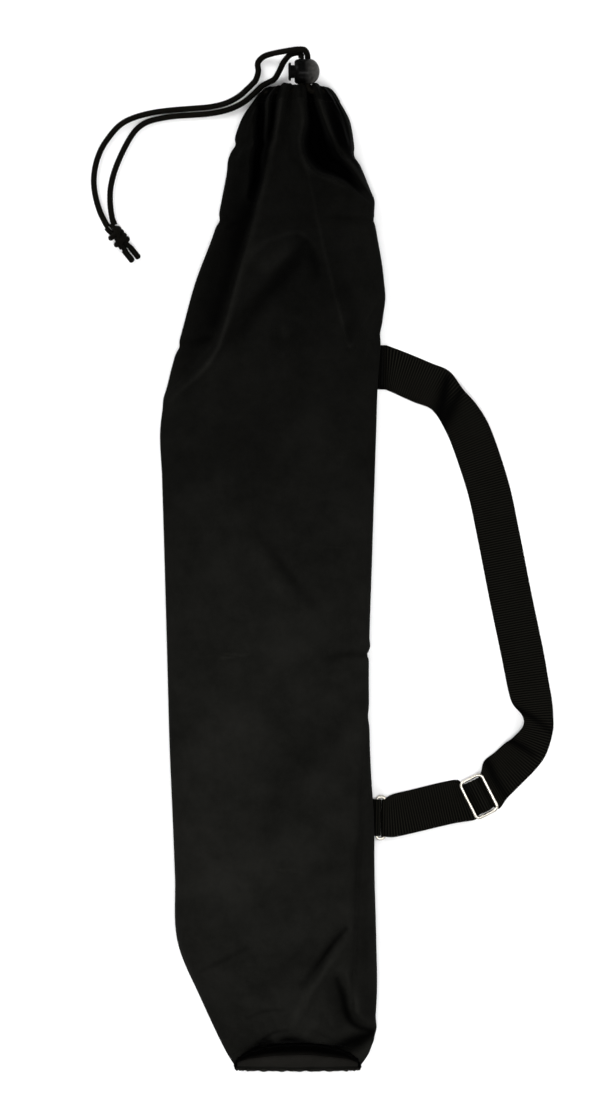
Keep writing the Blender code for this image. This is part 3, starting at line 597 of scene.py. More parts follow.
def moulded_plastic(name, dark, light, roughness, specular, coat):
    """Injection-moulded plastic with faint flow marks and fine scratches."""
    material, shader = new_material(name, specular=specular, coat=coat)
    shader.inputs["Coat Roughness"].default_value = 0.12
    flow = object_noise(material, 260.0, 3.0)
    tone = ramp_between(material, flow, dark, light)
    scratches = object_noise(material, 900.0, 6.0, 0.75, stretch=(0.3, 3.0, 1))
    return wire_up(material, shader, with_painted_shading(material, tone, 0), scratches, (roughness - 0.06, roughness + 0.10),
                   ((flow, 0.12, 0.00010), (scratches, 0.08, 0.00003)))


def plated_wire(name, dark, light, roughness):
    """Drawn wire with bright nickel plating: fine draw lines, small dull spots."""
    material, shader = new_material(name, metallic=1.0)
    spots = object_noise(material, 700.0, 4.0)
    tone = ramp_between(material, spots, dark, light, 0.3, 0.6)
    lines = object_noise(material, 3000.0, 2.0)
    return wire_up(material, shader, tone, spots, (roughness + 0.10, roughness - 0.04),
                   ((lines, 0.10, 0.00002), (spots, 0.08, 0.00005)))


def pale_floor():
    material, shader = new_material("studio_floor", specular=0.1)
    tone = ramp_between(material, object_noise(material, 3.0, 2.0), (0.94, 0.94, 0.94), (0.96, 0.96, 0.96))
    join(material, tone, 0, shader, "Base Color")
    shader.inputs["Roughness"].default_value = 0.9
    return material


NYLON = woven_nylon("black_nylon", (0.0044, 0.0044, 0.0038), (0.0076, 0.0075, 0.0066), 0.60)
INNER = woven_nylon("inner_nylon", (0.0056, 0.0053, 0.0046), (0.0082, 0.0078, 0.0069), 0.64)
TAPE = woven_nylon("seam_tape", (0.0050, 0.0050, 0.0047), (0.0080, 0.0080, 0.0074), 0.65, pitch=0.0009)
BAND = woven_band("black_webbing", (0.0004, 0.0004, 0.0003), (0.0009, 0.0009, 0.0008), 0.62)
BRAID = yarn("braided_cord", (0.0007, 0.0006, 0.0005), (0.0046, 0.0041, 0.0028), 0.60, 0.0009)
THREAD = yarn("stitch_thread", (0.0020, 0.0020, 0.0018), (0.0044, 0.0044, 0.0040), 0.55, 0.0004)
LOCK = moulded_plastic("lock_plastic", (0.0060, 0.0058, 0.0054), (0.0160, 0.0155, 0.0145), 0.38, 0.03, 0.015)
BUTTON = moulded_plastic("plunger_plastic", (0.0012, 0.0012, 0.0012), (0.0026, 0.0026, 0.0026), 0.50, 0.02, 0)
STEEL = plated_wire("spring_steel", (0.36, 0.35, 0.34), (0.55, 0.54, 0.52), 0.28)
NICKEL = plated_wire("nickel_wire", (0.36, 0.34, 0.29), (0.54, 0.51, 0.45), 0.30)


# Stage.

def build_camera():
    data = bpy.data.cameras.new("camera")
    data.sensor_fit = "VERTICAL"
    data.sensor_height = SENSOR
    data.lens = SENSOR * CAMERA_HEIGHT / VIEW_HEIGHT
    data.clip_start = 0.05
    data.clip_end = 30
    camera = bpy.data.objects.new("camera", data)
    camera.location = (*VIEW_CENTRE, CAMERA_HEIGHT)
    bpy.context.scene.collection.objects.link(camera)
    bpy.context.scene.camera = camera


def add_light(name, place, target, size, power):
    data = bpy.data.lights.new(name, "AREA")
    data.shape = "RECTANGLE"
    data.size, data.size_y = size
    data.energy = power
    light = bpy.data.objects.new(name, data)
    light.location = place
    light.rotation_euler = (Vector(target) - Vector(place)).to_track_quat("-Z", "Y").to_euler()
    bpy.context.scene.collection.objects.link(light)


def build_floor():
    line = np.linspace(-FLOOR_HALF, FLOOR_HALF, 12)
    x, y = np.meshgrid(line, line, indexing="ij")
    floor = add_grid("floor", np.stack([x, y, np.full_like(x, -FLOOR_DROP)], -1), pale_floor(), line, line)
    if floor.data.polygons[0].normal.z < 0:
        floor.data.flip_normals()


def build_world():
    world = bpy.data.worlds.new("studio")
    world.use_nodes = True
    background = world.node_tree.nodes["Background"]
    background.inputs["Color"].default_value = (1.0, 1.0, 1.0, 1)
    background.inputs["Strength"].default_value = WORLD_LIGHT
    bpy.context.scene.world = world
    bpy.context.scene.view_settings.view_transform = "Standard"


def build_stage():
    build_floor()
    for light in LIGHTS:
        add_light(*light)
    build_world()


# Cord.

def braid_bump(around=7, pitch=0.0021, height=0.00011):
    """The strands of a round braid as staggered diamonds."""
    def bump(place, turn):
        wave = place * math.tau / pitch
        return height * (0.5 * (np.cos(around * turn + wave) + np.cos(around * turn - wave)) - 0.2)
    return bump


def tail_route(side, route):
    """A tail's whole route: straight out of the lock on its own side, and on through the given points."""
    x, y, z = LOCK_CENTRE.x + side * CORD_SPACING / 2, CORD_EXIT_Y, LOCK_CENTRE.z
    rise = 0.0018 if side > 0 else -0.0006
    return (x, y, z), (x, y + 0.0010, z), (x - 0.0005, y + 0.0030, z + rise), *route


def add_braid(name, route, spacing=0.0004, radius=CORD_DIAMETER / 2):
    path = evenly(smooth_curve(route, 24), spacing)
    return add_tube(name, path, radius - BRAID_SKIN, BRAID, sides=34, bump=braid_bump()), path


def knot_core(side):
    """One cord's way straight through the knot."""
    return [(-0.0098, 0.0018 * side, -0.0026), (-0.0070, 0.0018 * side, -0.0016),
            (-0.0040, 0.0012 * side, -0.0004), (0.0000, 0.0012 * side, 0.0), (0.0040, 0.0012 * side, -0.0004),
            (0.0070, 0.0016 * side, -0.0016), (0.0096, 0.0020 * side, -0.0026)]


def knot_turn(k):
    """One cord's turn round the cores, with both its ends tucked in."""
    route = []
    for i in range(25):
        turn = math.tau * (1.10 * i / 24) - 0.6 + 0.35 * k
        x = -0.0047 + 0.0058 * k + 0.0032 * (i / 24) + 0.0010 * math.sin(turn)
        route.append((x, 0.0039 * math.cos(turn), 0.0030 * math.sin(turn) + 0.0002))
    first, last = Vector(route[0]), Vector(route[-1])
    tuck = Vector((0.0030, 0, 0))
    return [tuple(first * 0.35 - tuck), *route, tuple(last * 0.35 + tuck)]


def build_knot():
    """An overhand knot: both cords run in at one end, turn round their own run, and leave at the other."""
    strands = []
    for k, side in enumerate((1, -1)):
        strands.append((f"core_{k}", knot_core(side), 10, 0.00165, 26))
        strands.append((f"turn_{k}", knot_turn(k), 6, 0.00172, 28))
    strands.append(("bridge", KNOT_BRIDGE, 8, 0.00165, 26))
    place = Matrix.Translation(KNOT_CENTRE) @ Matrix.Rotation(KNOT_TURN, 4, "Z")
    parts = []
    for name, route, steps, radius, sides in strands:
        path = evenly(smooth_curve(route, steps), 0.0004)
        parts.append(place_object(add_tube(name, path, radius, BRAID, sides, braid_bump()), place))
    return join_objects("drawcord_knot", parts)


def join_objects(name, parts):
    """One object from several of one material; the parts stay separate closed bodies in it."""
    merged = bmesh.new()
    for part in parts:
        merged.from_mesh(part.data)
    mesh = bpy.data.meshes.new(name)
    merged.to_mesh(mesh)
    merged.free()
    mesh.materials.append(parts[0].data.materials[0])
    mesh.shade_smooth()
    for part in parts:
        bpy.data.objects.remove(part)
    made = bpy.data.objects.new(name, mesh)
    bpy.context.scene.collection.objects.link(made)
    return made


def build_cord_end(name, route, seed):
    """A short cord end whose tip is melted to a blunt bead."""
    round_length, melted_length, fade = 0.0016, 0.0026, 0.0012
    path = evenly(smooth_curve(route, 20), 0.0003)
    reach = distances(path)
    left = reach[-1] - reach
    radius = np.full(len(path), CORD_DIAMETER / 2 - BRAID_SKIN)
    bead = 1 - ((round_length - left) / round_length).clip(0) ** 2
    radius = radius * np.clip(np.sqrt(np.clip(bead, 0.02, 1)), 0.12, 1)
    phase = np.random.default_rng(seed).uniform(0, math.tau, 3)

    def bump(place, turn):
        braided = braid_bump()(place, turn)
        melted = 0.00016 * sum(np.cos(count * turn + start) for count, start in zip((2, 3, 5), phase))
        share = np.clip((place - (reach[-1] - melted_length)) / fade, 0, 1) * (left[:, None] > 0.0002)
        return braided * (1 - share) + melted * share * 0.6
    return add_tube(name, path, radius, BRAID, sides=30, bump=bump)


def build_tail(name, node, side, route):
    """A free tail of the drawcord, from the lock to the knot."""
    tail, path = add_braid(name, tail_route(side, route))
    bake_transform(tail)
    stand_in(tail, "cord", node)


def build_cords():
    knot = build_knot()
    end_a = build_cord_end("tail_tip_a", END_A_ROUTE, 3)
    end_b = build_cord_end("tail_tip_b", END_B_ROUTE, 4)
    for piece, node in ((knot, "cord_knot"), (end_a, "cord_end_a"), (end_b, "cord_end_b")):
        attach(piece, "bag", "cord", node)
    build_tail("drawcord_tail_a", "cord_tail_a", 1, TAIL_A_ROUTE)
    build_tail("drawcord_tail_b", "cord_tail_b", -1, TAIL_B_ROUTE)


build_camera()
build_stage()
build_cords()


# Sleeve.

def station(along):
    """Left edge, right edge and height at a distance from the base, read smoothly from the stations."""
    rows = SLEEVE_STATIONS
    k = 0
    while k < len(rows) - 2 and along > rows[k + 1][0]:
        k += 1
    before, here, there, after = rows[max(k - 1, 0)], rows[k], rows[k + 1], rows[min(k + 2, len(rows) - 1)]
    span = there[0] - here[0]
    t = (along - here[0]) / span
    values = []
    for column in (1, 2, 3):
        slope_here = (there[column] - before[column]) / (there[0] - before[0]) * span
        slope_there = (after[column] - here[column]) / (after[0] - here[0]) * span
        values.append((2 * t ** 3 - 3 * t ** 2 + 1) * here[column] + (t ** 3 - 2 * t ** 2 + t) * slope_here
                      + (3 * t ** 2 - 2 * t ** 3) * there[column] + (t ** 3 - t ** 2) * slope_there)
    return values


def signed_power(value, power):
    return np.sign(value) * np.abs(value) ** power


def wall(along, angles, inset=0.0):
    """Points of the sleeve's plain wall: a row for each distance, a column for each angle from the right."""
    left, right, height = np.array([station(a) for a in along]).T[:, :, None]
    angles = np.asarray(angles)[None, :]
    middle, half = (left + right) / 2, (right - left) / 2
    edge = np.minimum(EDGE_HEIGHT_SHARE * height, EDGE_HEIGHT_MOST)
    reach = EDGE_REACH * edge
    top_x = (half - inset) * signed_power(np.cos(angles), 2 / ARCH_POWER)
    top_z = edge + (height - inset - edge) * signed_power(np.sin(angles), 2 / ARCH_POWER)
    share = (angles - math.pi) / math.pi
    side = np.where(share < 0.5, -1, 1)
    from_edge = np.minimum(share, 1 - share) / 0.25
    turn = np.clip(from_edge, 0, 1) * math.pi / 2
    corner_x = side * (half - reach + (reach - inset) * np.cos(turn))
    corner_z = edge - (edge - inset) * np.sin(turn)
    flat_x = side * (half - reach) * (2 - from_edge)
    low_x = np.where(from_edge < 1, corner_x, flat_x)
    low_z = np.where(from_edge < 1, corner_z, inset)
    x = np.where(angles <= math.pi, top_x, low_x)
    z = np.where(angles <= math.pi, top_z, low_z)
    lean = BASE_LEAN * (z / height) ** 2 * np.maximum(0, 1 - np.asarray(along)[:, None] / BASE_LEAN_REACH)
    y = BASE_Y + np.asarray(along)[:, None] + lean
    return np.stack([middle + x, y, z], -1)


# Folds of the cloth, in millimetres. Each is a sharpness (1 a hard crease, 2 a soft one) and a line of points:
# x, y, height of the fold there (below 0 for a valley) and its half width.
FOLDS = (
    # The long fold down the left third, the deep valley beside it, and the slot and thin ridge between them.
    (1.4, ((-49.5, 304, 1.6, 2.2), (-52.4, 284, 2.8, 2.6), (-56.8, 266, 3.6, 3.4), (-63.2, 239, 3.4, 4.0),
           (-70.2, 210, 3.0, 4.2), (-78, 181, 2.8, 4.4), (-86, 152, 2.6, 4.2), (-94, 134, 2.2, 4.0),
           (-110, 118, 1.8, 4.0), (-123, 106, 0.8, 3.4))),
    (3.0, ((-61.5, 305, -5.0, 2.0), (-62.8, 292, -9.5, 2.8), (-63.8, 272, -10.5, 3.1), (-65.4, 251, -8.5, 3.3),
           (-67.6, 238, -3.0, 3.2))),
    (1.7, ((-66.6, 247, -2.0, 2.6), (-70.5, 229, -6.4, 3.0), (-76.5, 207, -6.0, 3.2), (-83.5, 185, -4.8, 3.2),
           (-91, 160, -4.8, 3.2), (-97.5, 141, -4.0, 3.0), (-113, 122.5, -2.2, 2.8)), 4.0),
    (1.3, ((-58.0, 304, 1.2, 1.3), (-59.2, 285, 2.0, 1.4), (-60, 268, 1.5, 1.5), (-61.5, 252, 0.6, 1.6))),
    (2.4, ((-54.0, 304, -4.0, 1.6), (-54.9, 293, -7.0, 1.9), (-55.4, 284, -6.4, 1.8), (-56.6, 274, -2.5, 1.5),
           (-57.6, 268, -0.4, 1.4))),
    # The deep hollow right of the middle and the pleats beyond it.
    (4.0, ((-31, 304, -6.0, 2.0), (-30.5, 297, -9.0, 2.7), (-28, 285, -12.0, 4.4), (-26.7, 272, -15.5, 8.1),
           (-21, 262, -15.5, 8.4), (-13, 256, -12.0, 6.0), (-6, 250.5, -8.0, 4.0), (0, 243.5, -4.6, 2.6),
           (6, 236.5, -1.6, 1.6))),
    (1.3, ((-26.0, 304, 1.6, 1.4), (-21.6, 286, 2.6, 1.8), (-16.0, 271, 3.0, 2.0), (-10.0, 261.5, 2.6, 2.0),
           (-3.0, 253, 2.2, 2.0), (7.0, 238, 0.8, 1.8))),
    (2.0, ((-22.5, 303, -3.4, 1.6), (-17.5, 288, -5.4, 2.2), (-12.0, 274, -4.8, 2.2), (-5.5, 262, -2.6, 2.0),
           (1, 253, -0.8, 1.8))),
    (1.3, ((-19, 303, 1.2, 1.2), (-13.5, 290, 2.0, 1.4), (-9, 279, 2.0, 1.4), (-4, 267, 1.2, 1.4))),
    (2.0, ((-15, 300, -2.0, 1.4), (-10, 288, -3.2, 1.8), (-6, 276, -2.6, 1.8), (-1.5, 264, -1.0, 1.6))),
    (1.4, ((-39, 303, 1.4, 1.8), (-36.5, 292, 2.2, 2.2), (-36.2, 280, 2.6, 2.2), (-37.0, 270, 2.6, 2.4),
           (-32, 255, 2.0, 2.8), (-17, 247, 1.8, 2.8), (-6, 241, 1.2, 2.4), (3, 233, 0.6, 2.0))),
    (1.8, ((-44, 303, -1.6, 2.0), (-44, 290, -2.4, 2.6), (-46, 272, -1.6, 3.4), (-50, 252, -0.6, 4.0))),
    # The crease from the hollow to the lower right, and the one that meets it.
    (1.2, ((-37, 272, 0.9, 2.0), (-30, 239, 1.5, 2.4), (-22, 202, 1.7, 2.6), (-13, 166, 1.9, 2.6),
           (-6, 141, 1.5, 2.2))),
    (1.2, ((13, 172, 1.0, 2.0), (5, 159, 1.5, 2.2), (-4, 142, 1.4, 2.0))),
    (2.0, ((-10, 176, -1.2, 6.0), (-2, 160, -1.8, 5.0), (-5, 146, -1.0, 3.0))),
    (1.5, ((-18, 222, -1.2, 1.8), (-8, 221.5, -1.8, 1.8), (9, 221.5, -1.2, 1.6))),
    (1.5, ((-14, 226, 0.7, 2.2), (2, 226, 0.8, 2.2))),
    # The dome in the middle and the valley below it.
    (1.5, ((-70, 198, 1.0, 2.6), (-62, 206, 1.5, 2.8), (-52, 211, 1.8, 2.8), (-39, 214, 1.9, 2.8),
           (-30, 207, 1.5, 2.8), (-25, 196, 1.0, 2.8))),
    (2.0, ((-58, 193, 2.2, 9.0), (-46, 200, 2.2, 8.0))),
    (1.9, ((-35, 204, -2.0, 3.0), (-40, 196, -3.4, 4.0), (-49, 185, -4.2, 4.6), (-60, 173, -4.2, 5.0),
           (-71, 161, -3.8, 5.0), (-82, 145, -2.4, 4.4), (-90, 130, -1.0, 4.0))),
    (1.6, ((-34, 206, -1.4, 2.4), (-31, 196, -2.2, 2.8), (-27, 184, -1.2, 2.6))),
    # The small bump below the valley and the creases round it.
    (2.0, ((-48, 150, 1.8, 6.0), (-42, 146, 1.8, 6.0))),
    (1.6, ((-54, 156, -1.0, 1.8), (-54, 144, -2.2, 2.0), (-52, 133, -1.2, 1.8))),
    (1.6, ((-48, 137, -0.8, 1.6), (-42, 145, -1.6, 1.8), (-37, 152, -0.8, 1.6))),
    (1.3, ((-39, 158, 0.9, 2.4), (-24, 143, 1.1, 2.6), (-8, 124, 1.0, 2.8), (6, 109, 0.5, 2.6))),
    (1.6, ((-60, 170, 0.6, 3.0), (-46, 160, 1.0, 3.0), (-30, 161, 0.8, 3.0), (-16, 150, 0.5, 3.0))),
    # The creases at the left edge.
    (1.5, ((-75, 271, -1.8, 2.0), (-79, 265, -1.2, 1.8), (-84, 262, -0.6, 1.6))),
    (1.5, ((-90, 223, -1.6, 1.8), (-84, 219, -1.4, 1.8), (-78, 221, -0.6, 1.8))),
    (1.5, ((-116, 142, -1.8, 2.2), (-107, 143, -2.0, 2.4), (-97, 146, -1.4, 2.4))),
    (1.3, ((-80, 252, 0.7, 2.0), (-86, 222, 0.9, 2.2), (-95, 190, 0.7, 2.2))),
    # The broad middle.
    (1.4, ((-64, 22, 0.3, 2.4), (-52, 8, 1.0, 2.6), (-40, -8, 1.1, 2.6), (-28, -23, 0.3, 2.4))),
    (1.8, ((-60, 16, -0.3, 4.0), (-48, -4, -0.9, 4.5), (-36, -20, -0.3, 4.0))),
    (1.4, ((9, -58, -1.6, 1.8), (2, -57, -1.4, 2.0), (-8, -60, -0.7, 2.4), (-22, -66, -0.2, 2.6))),
    (1.6, ((6, -66, 0.7, 3.0), (-12, -72, 0.5, 3.4), (-30, -84, 0.1, 3.4))),
    # The seam line down the lower right.
    (1.3, ((7, -84, -0.5, 1.3), (3, -125, -1.6, 1.5), (0, -180, -2.2, 1.6), (-1.5, -230, -2.4, 1.6),
           (-3, -266, -2.2, 1.6), (-5, -290, -1.2, 1.5))),
    (1.6, ((9, -100, 0.5, 2.2), (6.5, -160, 1.0, 2.6), (5.5, -230, 1.1, 2.8), (4, -280, 0.8, 2.8))),
    # The crumpled corner above the base.
    (1.5, ((-6, -240, 0.4, 2.6), (-13, -250, 1.6, 3.0), (-21, -260, 2.0, 3.0), (-31, -276, 1.8, 3.2),
           (-40, -296, 0.8, 3.0))),
    (1.7, ((-7, -232, -0.8, 2.0), (-16.5, -244, -3.2, 2.3), (-24.7, -255.3, -3.0, 2.3), (-31, -264, -1.8, 2.4),
           (-38, -274, -0.6, 2.4))),
    (1.5, ((-30, -238, 0.2, 6.0), (-40, -246, 1.2, 7.0), (-52, -262, 0.8, 7.0))),
    (1.4, ((-8, -262, 1.4, 2.4), (-3, -277, 2.4, 2.8), (1, -290, 2.0, 2.8), (12, -297, 0.8, 2.4))),
    (1.7, ((-14.5, -264, -1.4, 1.8), (-10.5, -276, -3.4, 2.2), (-7, -290, -3.6, 2.2), (-1.6, -297, -3.2, 2.2),
           (7.5, -301, -1.8, 2.2))),
    (1.6, ((-27, -282, 0.2, 3.0), (-20, -290, 1.4, 3.6), (-14, -300, 1.0, 3.4))),
    (1.6, ((-44, -300, 0.3, 2.4), (-52, -302, 1.4, 2.6), (-62, -308, 1.0, 2.4))),
    (1.6, ((-30, -302, -0.4, 2.2), (-24, -305, -1.6, 2.4), (-18, -309, -0.8, 2.4))),
    (1.8, ((12, -302, -1.6, 2.4), (4, -306, -3.2, 3.2), (-4, -311, -3.2, 3.2), (-9, -316, -1.6, 2.6))),
    (1.5, ((-85, -281, 0.2, 2.0), (-68, -284, 0.9, 2.4), (-49, -287, 0.3, 2.0))),
    (1.5, ((-60, -308, 0.2, 2.0), (-51, -310, 0.9, 2.2), (-42, -309, 0.3, 2.0))),
    (1.6, ((-98, -270, 0.2, 3.0), (-80, -300, 0.8, 3.0), (-66, -318, 0.4, 2.6))),
)
# Painted shade on the cloth or, below 0, painted light: lines of x, y, strength and half width in millimetres.
PAINTED_SHADES = (
    ((-69, 296, 0.35, 5), (-74, 262, 0.45, 8), (-82, 225, 0.55, 11), (-92, 185, 0.55, 12),
     (-103, 150, 0.50, 11), (-112, 126, 0.30, 6)),
    ((-53.5, 302, 0.70, 2.0), (-56.0, 286, 0.90, 2.6), (-58.3, 272, 0.95, 3.4), (-61.6, 257, 0.95, 4.0),
     (-65.6, 243, 0.90, 4.0), (-70, 226, 0.70, 4.0), (-77, 205, 0.55, 4.4), (-84, 184, 0.45, 4.4),
     (-93, 156, 0.45, 4.0)),
    ((-22, 313, 0.92, 5.0), (-17, 302, 0.95, 5.4), (-13.5, 290, 0.95, 5.8), (-9, 278, 0.92, 5.2),
     (-4, 266, 0.80, 4.2), (2, 255, 0.50, 2.8)),
    ((-26.5, 304, -0.50, 0.9), (-21.4, 289, -0.60, 0.9), (-15.5, 274.5, -0.60, 0.9), (-8.5, 264.5, -0.60, 0.9),
     (0, 252.5, -0.50, 0.9), (8, 241, -0.30, 0.9)),
    ((-12.5, 300, -1.0, 0.6), (-8.6, 290, -1.0, 0.6), (-5.8, 279, -0.8, 0.6), (-3.4, 268, -0.6, 0.6)),
    ((-50, 303, -0.20, 1.2), (-56.8, 266, -0.35, 1.3), (-63.5, 238, -0.40, 1.3), (-78.5, 181, -0.40, 1.3),
     (-94, 134, -0.40, 1.3), (-122, 106, -0.20, 1.3)),
    ((-30, 239, -0.10, 1.2), (-22, 202, -0.15, 1.2), (-13, 166, -0.15, 1.2), (-6, 141, -0.10, 1.2)),
    ((-31, 303, 0.60, 2.5), (-28, 287, 0.80, 4.0), (-25, 272, 0.95, 7.5), (-19, 263, 0.95, 7.5),
     (-9, 253, 0.80, 4.5), (1, 243, 0.60, 2.5)),
    ((-33, -242, 0.20, 5), (-45, -254, 0.32, 7), (-60, -272, 0.25, 8)),
    ((-36, 200, 0.35, 4), (-49, 185, 0.50, 6), (-64, 168, 0.45, 6), (-80, 146, 0.30, 5)),
    ((-45, 275, 0.28, 24), (-36, 235, 0.32, 32), (-32, 195, 0.28, 34), (-40, 150, 0.12, 34)),
    ((-66, 20, 0.12, 3), (-50, 0, 0.32, 4), (-38, -16, 0.28, 4), (-25, -29, 0.10, 4)),
    ((-72, 12, -0.10, 4), (-57, -9, -0.20, 5), (-43, -26, -0.12, 5)),
    ((9, -59, 0.40, 1.8), (-4, -58, 0.35, 2.2), (-20, -60, 0.18, 3)),
    ((0, -84, 0.10, 8), (-30, -120, 0.16, 12), (-60, -160, 0.10, 14)),
    ((-80, -112, -0.12, 12), (-50, -92, -0.10, 12)),
    ((-72, -205, -0.10, 12), (-35, -178, -0.14, 12)),
    ((-20, -195, 0.12, 8), (-48, -215, 0.14, 10), (-80, -235, 0.10, 10)),
    ((-110, 60, 0.10, 10), (-70, 90, 0.14, 12), (-30, 110, 0.10, 12)),
    ((-100, 20, -0.10, 12), (-60, 48, -0.12, 12), (-15, 70, -0.08, 12)),
    ((-31, 198, 0.40, 3), (-28, 188, 0.30, 4)),
    ((-10, 176, 0.30, 6), (-2, 160, 0.35, 5), (-6, 146, 0.25, 4)),
    ((9, -80, 0.15, 4), (4, -160, 0.25, 5), (3, -240, 0.30, 6), (6, -290, 0.30, 6)),
    ((-8, -234, 0.50, 1.6), (-16.5, -244, 0.75, 2.0), (-24.7, -255.3, 0.70, 2.0), (-36, -271, 0.30, 2.4)),
    ((-18, -268, 0.30, 5), (-15, -280, 0.35, 5), (-10, -292, 0.30, 5)),
    ((-14, -266, 0.50, 1.6), (-10.5, -276, 0.75, 2.2), (-7, -290, 0.80, 2.2), (-1.6, -297, 0.80, 2.2),
     (7.5, -301, 0.70, 2.2)),
    ((-79, -323, 0.85, 1.8), (-69, -314, 0.95, 3.0), (-60, -308, 0.98, 3.6), (-53, -309, 0.98, 2.6),
     (-45, -306, 0.98, 3.6), (-34, -308.5, 0.97, 3.2), (-24, -312.5, 0.97, 3.0), (-14, -311, 0.97, 4.0),
     (-5, -307, 0.90, 4.0), (8, -303, 0.60, 2.8)),
    ((-62, -306, 0.55, 1.2), (-55, -301, 0.45, 1.2), (-46, -299, 0.35, 1.4)),
    ((-72, -292, 0.22, 1.2), (-60, -287, 0.30, 1.3), (-48, -286, 0.15, 1.2)),
    ((-102, -262, 0.20, 1.3), (-86, -254, 0.28, 1.4), (-72, -246, 0.15, 1.4)),
    ((-30, -270, -0.22, 2.0), (-38, -284, -0.30, 2.2), (-42, -296, -0.15, 2.0)),
    ((-22, -258, -0.25, 1.6), (-14, -247, -0.25, 1.6)),
    ((-34, -302, -0.25, 2.6), (-28, -296, -0.25, 2.6)),
    ((2, -316, -0.45, 3.0), (8, -310, -0.35, 2.6)),
    ((10, -303, 0.60, 3), (1, -308, 0.75, 5), (-9, -315, 0.60, 4)),
    ((-95, -40, -0.15, 24), (-95, -180, -0.22, 28), (-72, -260, -0.18, 22)),
    ((-60, 60, 0.10, 30), (-40, -60, -0.10, 26)),
)
# Painted light falloff: the cloth is painted paler towards the base and darker towards the mouth. Places along
# the sleeve in metres and the tone there.
PAINTED_LIGHT_FALLOFF = ((-0.20, -0.06, 0.02, 0.06, 0.12, 0.22), (1.06, 0.98, 0.78, 0.66, 0.60, 0.54))
# Painted shade on the strap in its twists and bends, by the ring and slider, and where it leaves the sleeve:
# lines of x, y, strength and half width in millimetres.
STRAP_PAINTED_SHADES = (
    ((13, 144, 0.85, 4.5), (15, 128, 0.75, 4), (14, 113, 0.85, 4.5)),
    ((57.5, 121, 0.90, 3.0), (55.5, 110, 0.95, 4.2), (52.5, 98, 0.95, 4.4)),
    ((66.5, 113, 0.75, 2.4), (60.5, 101, 0.85, 4.2), (55.5, 91, 0.90, 4.0)),
    ((99, -92, 0.90, 2.4), (110, -97, 0.90, 2.2), (119, -103, 0.70, 2.2), (126, -109, 0.50, 2.0)),
    ((97, -113, 0.90, 2.6), (105, -117, 0.90, 2.4), (114, -123, 0.60, 2.2)),
    ((84, -128, 0.90, 3.2), (89, -139, 0.85, 3.0), (96, -150, 0.60, 3.0)),
    ((11, -150, 0.60, 3.0), (12, -164, 0.60, 3.0), (11, -178, 0.60, 3.0)),
)
# Dents and bulges of the side edges, in millimetres: side (-1 left, 1 right), y, outward shift, half length.
EDGE_SHIFTS = (
    (-1, 272, -1.6, 3.0), (-1, 262, 0.8, 5.0), (-1, 223, -1.4, 3.0), (-1, 141, -1.2, 3.0), (-1, 108, 0.8, 5.0),
    (1, 265, -1.8, 4.0), (1, 236, 1.6, 6.0), (1, 223, -0.8, 2.4), (1, 172, 0.8, 8.0), (1, 150, -1.0, 5.0),
    (1, -165, 1.5, 26), (1, -58, -1.3, 2.2), (1, -52, 0.6, 3.0), (1, -98, -0.8, 5.0), (1, -300, 1.4, 5.0),
    (1, -308, 0.8, 4.0),
)


def beside_line(x, y, points, skew=1.0):
    """Places near a line given in millimetres: a mask, each one's gap to the line, and the line's two readings.

    The second reading is a half width, which skew multiplies on the right of the line's own direction."""
    line = smooth_curve([(a * MM, b * MM, c, d * MM) for a, b, c, d in points], 6)
    reach = 3.5 * line[:, 3].max() * max(skew, 1)
    low, high = line[:, :2].min(0) - reach, line[:, :2].max(0) + reach
    near = (x > low[0]) & (x < high[0]) & (y > low[1]) & (y < high[1])
    px, py = x[near], y[near]
    best = np.full(len(px), 1e9)
    reading, width = np.zeros(len(px)), np.ones(len(px))
    for a, b in zip(line[:-1], line[1:]):
        step = b[:2] - a[:2]
        t = np.clip(((px - a[0]) * step[0] + (py - a[1]) * step[1]) / (step @ step), 0, 1)
        gap = np.hypot(px - a[0] - t * step[0], py - a[1] - t * step[1])
        right = step[0] * (py - a[1]) - step[1] * (px - a[0]) < 0
        closer = gap < best
        best = np.where(closer, gap, best)
        reading = np.where(closer, a[2] + (b[2] - a[2]) * t, reading)
        width = np.where(closer, (a[3] + (b[3] - a[3]) * t) * np.where(right, skew, 1.0), width)
    return near, best, reading, width


def fold_heights(x, y):
    """The height that all folds add at each point, in metres."""
    total = np.zeros_like(x)
    for sharpness, points, *skew in FOLDS:
        near, gap, height, width = beside_line(x, y, points, *skew)
        gap = np.sqrt(gap ** 2 + CREASE_ROUND ** 2) - CREASE_ROUND
        total[near] += height * MM * np.exp(-(gap / width) ** sharpness)
    return total


def painted_fold_shading(x, y, folds, shades):
    """Painted shade and light on the cloth: painted shade deepest in a fold, a painted highlight along a crest,
    and the given lines of painted shade.
    """
    total = (1 - 0.97 * smooth_step(-folds, 0.0026, 0.0080)) * (1 + 0.70 * smooth_step(folds, 0.0008, 0.0032))
    for points in shades:
        near, gap, strength, width = beside_line(x, y, points)
        total[near] *= 1 - strength * np.exp(-(gap / width) ** 2)
    return total


def smooth_step(value, low, high):
    t = np.clip((value - low) / (high - low), 0, 1)
    return t * t * (3 - 2 * t)


def ruffle(angle, along):
    """Gathers that run out of the drawn mouth and fade down the sleeve."""
    share = smooth_step(along, 0.560, HEM_BOTTOM)
    wave = (0.9 * np.cos(13 * angle + 0.7) + 0.7 * np.cos(19 * angle + 2.1 + 6 * (along - 0.6))
            + 0.5 * np.cos(29 * angle + 4.0))
    return 0.0011 * share ** 1.5 * wave


def undulation(x, y):
    """Slow swells of limp cloth."""
    return (np.sin(x * 62 + y * 21 + 0.4) * np.sin(y * 34 - x * 12 + 1.9) * 0.0012
            + np.sin(x * 95 - y * 43 + 2.2) * np.sin(y * 61 + x * 30) * 0.0007
            + np.sin(x * 150 + y * 90 + 0.9) * np.sin(y * 38 - x * 70 + 0.3) * 0.0003)


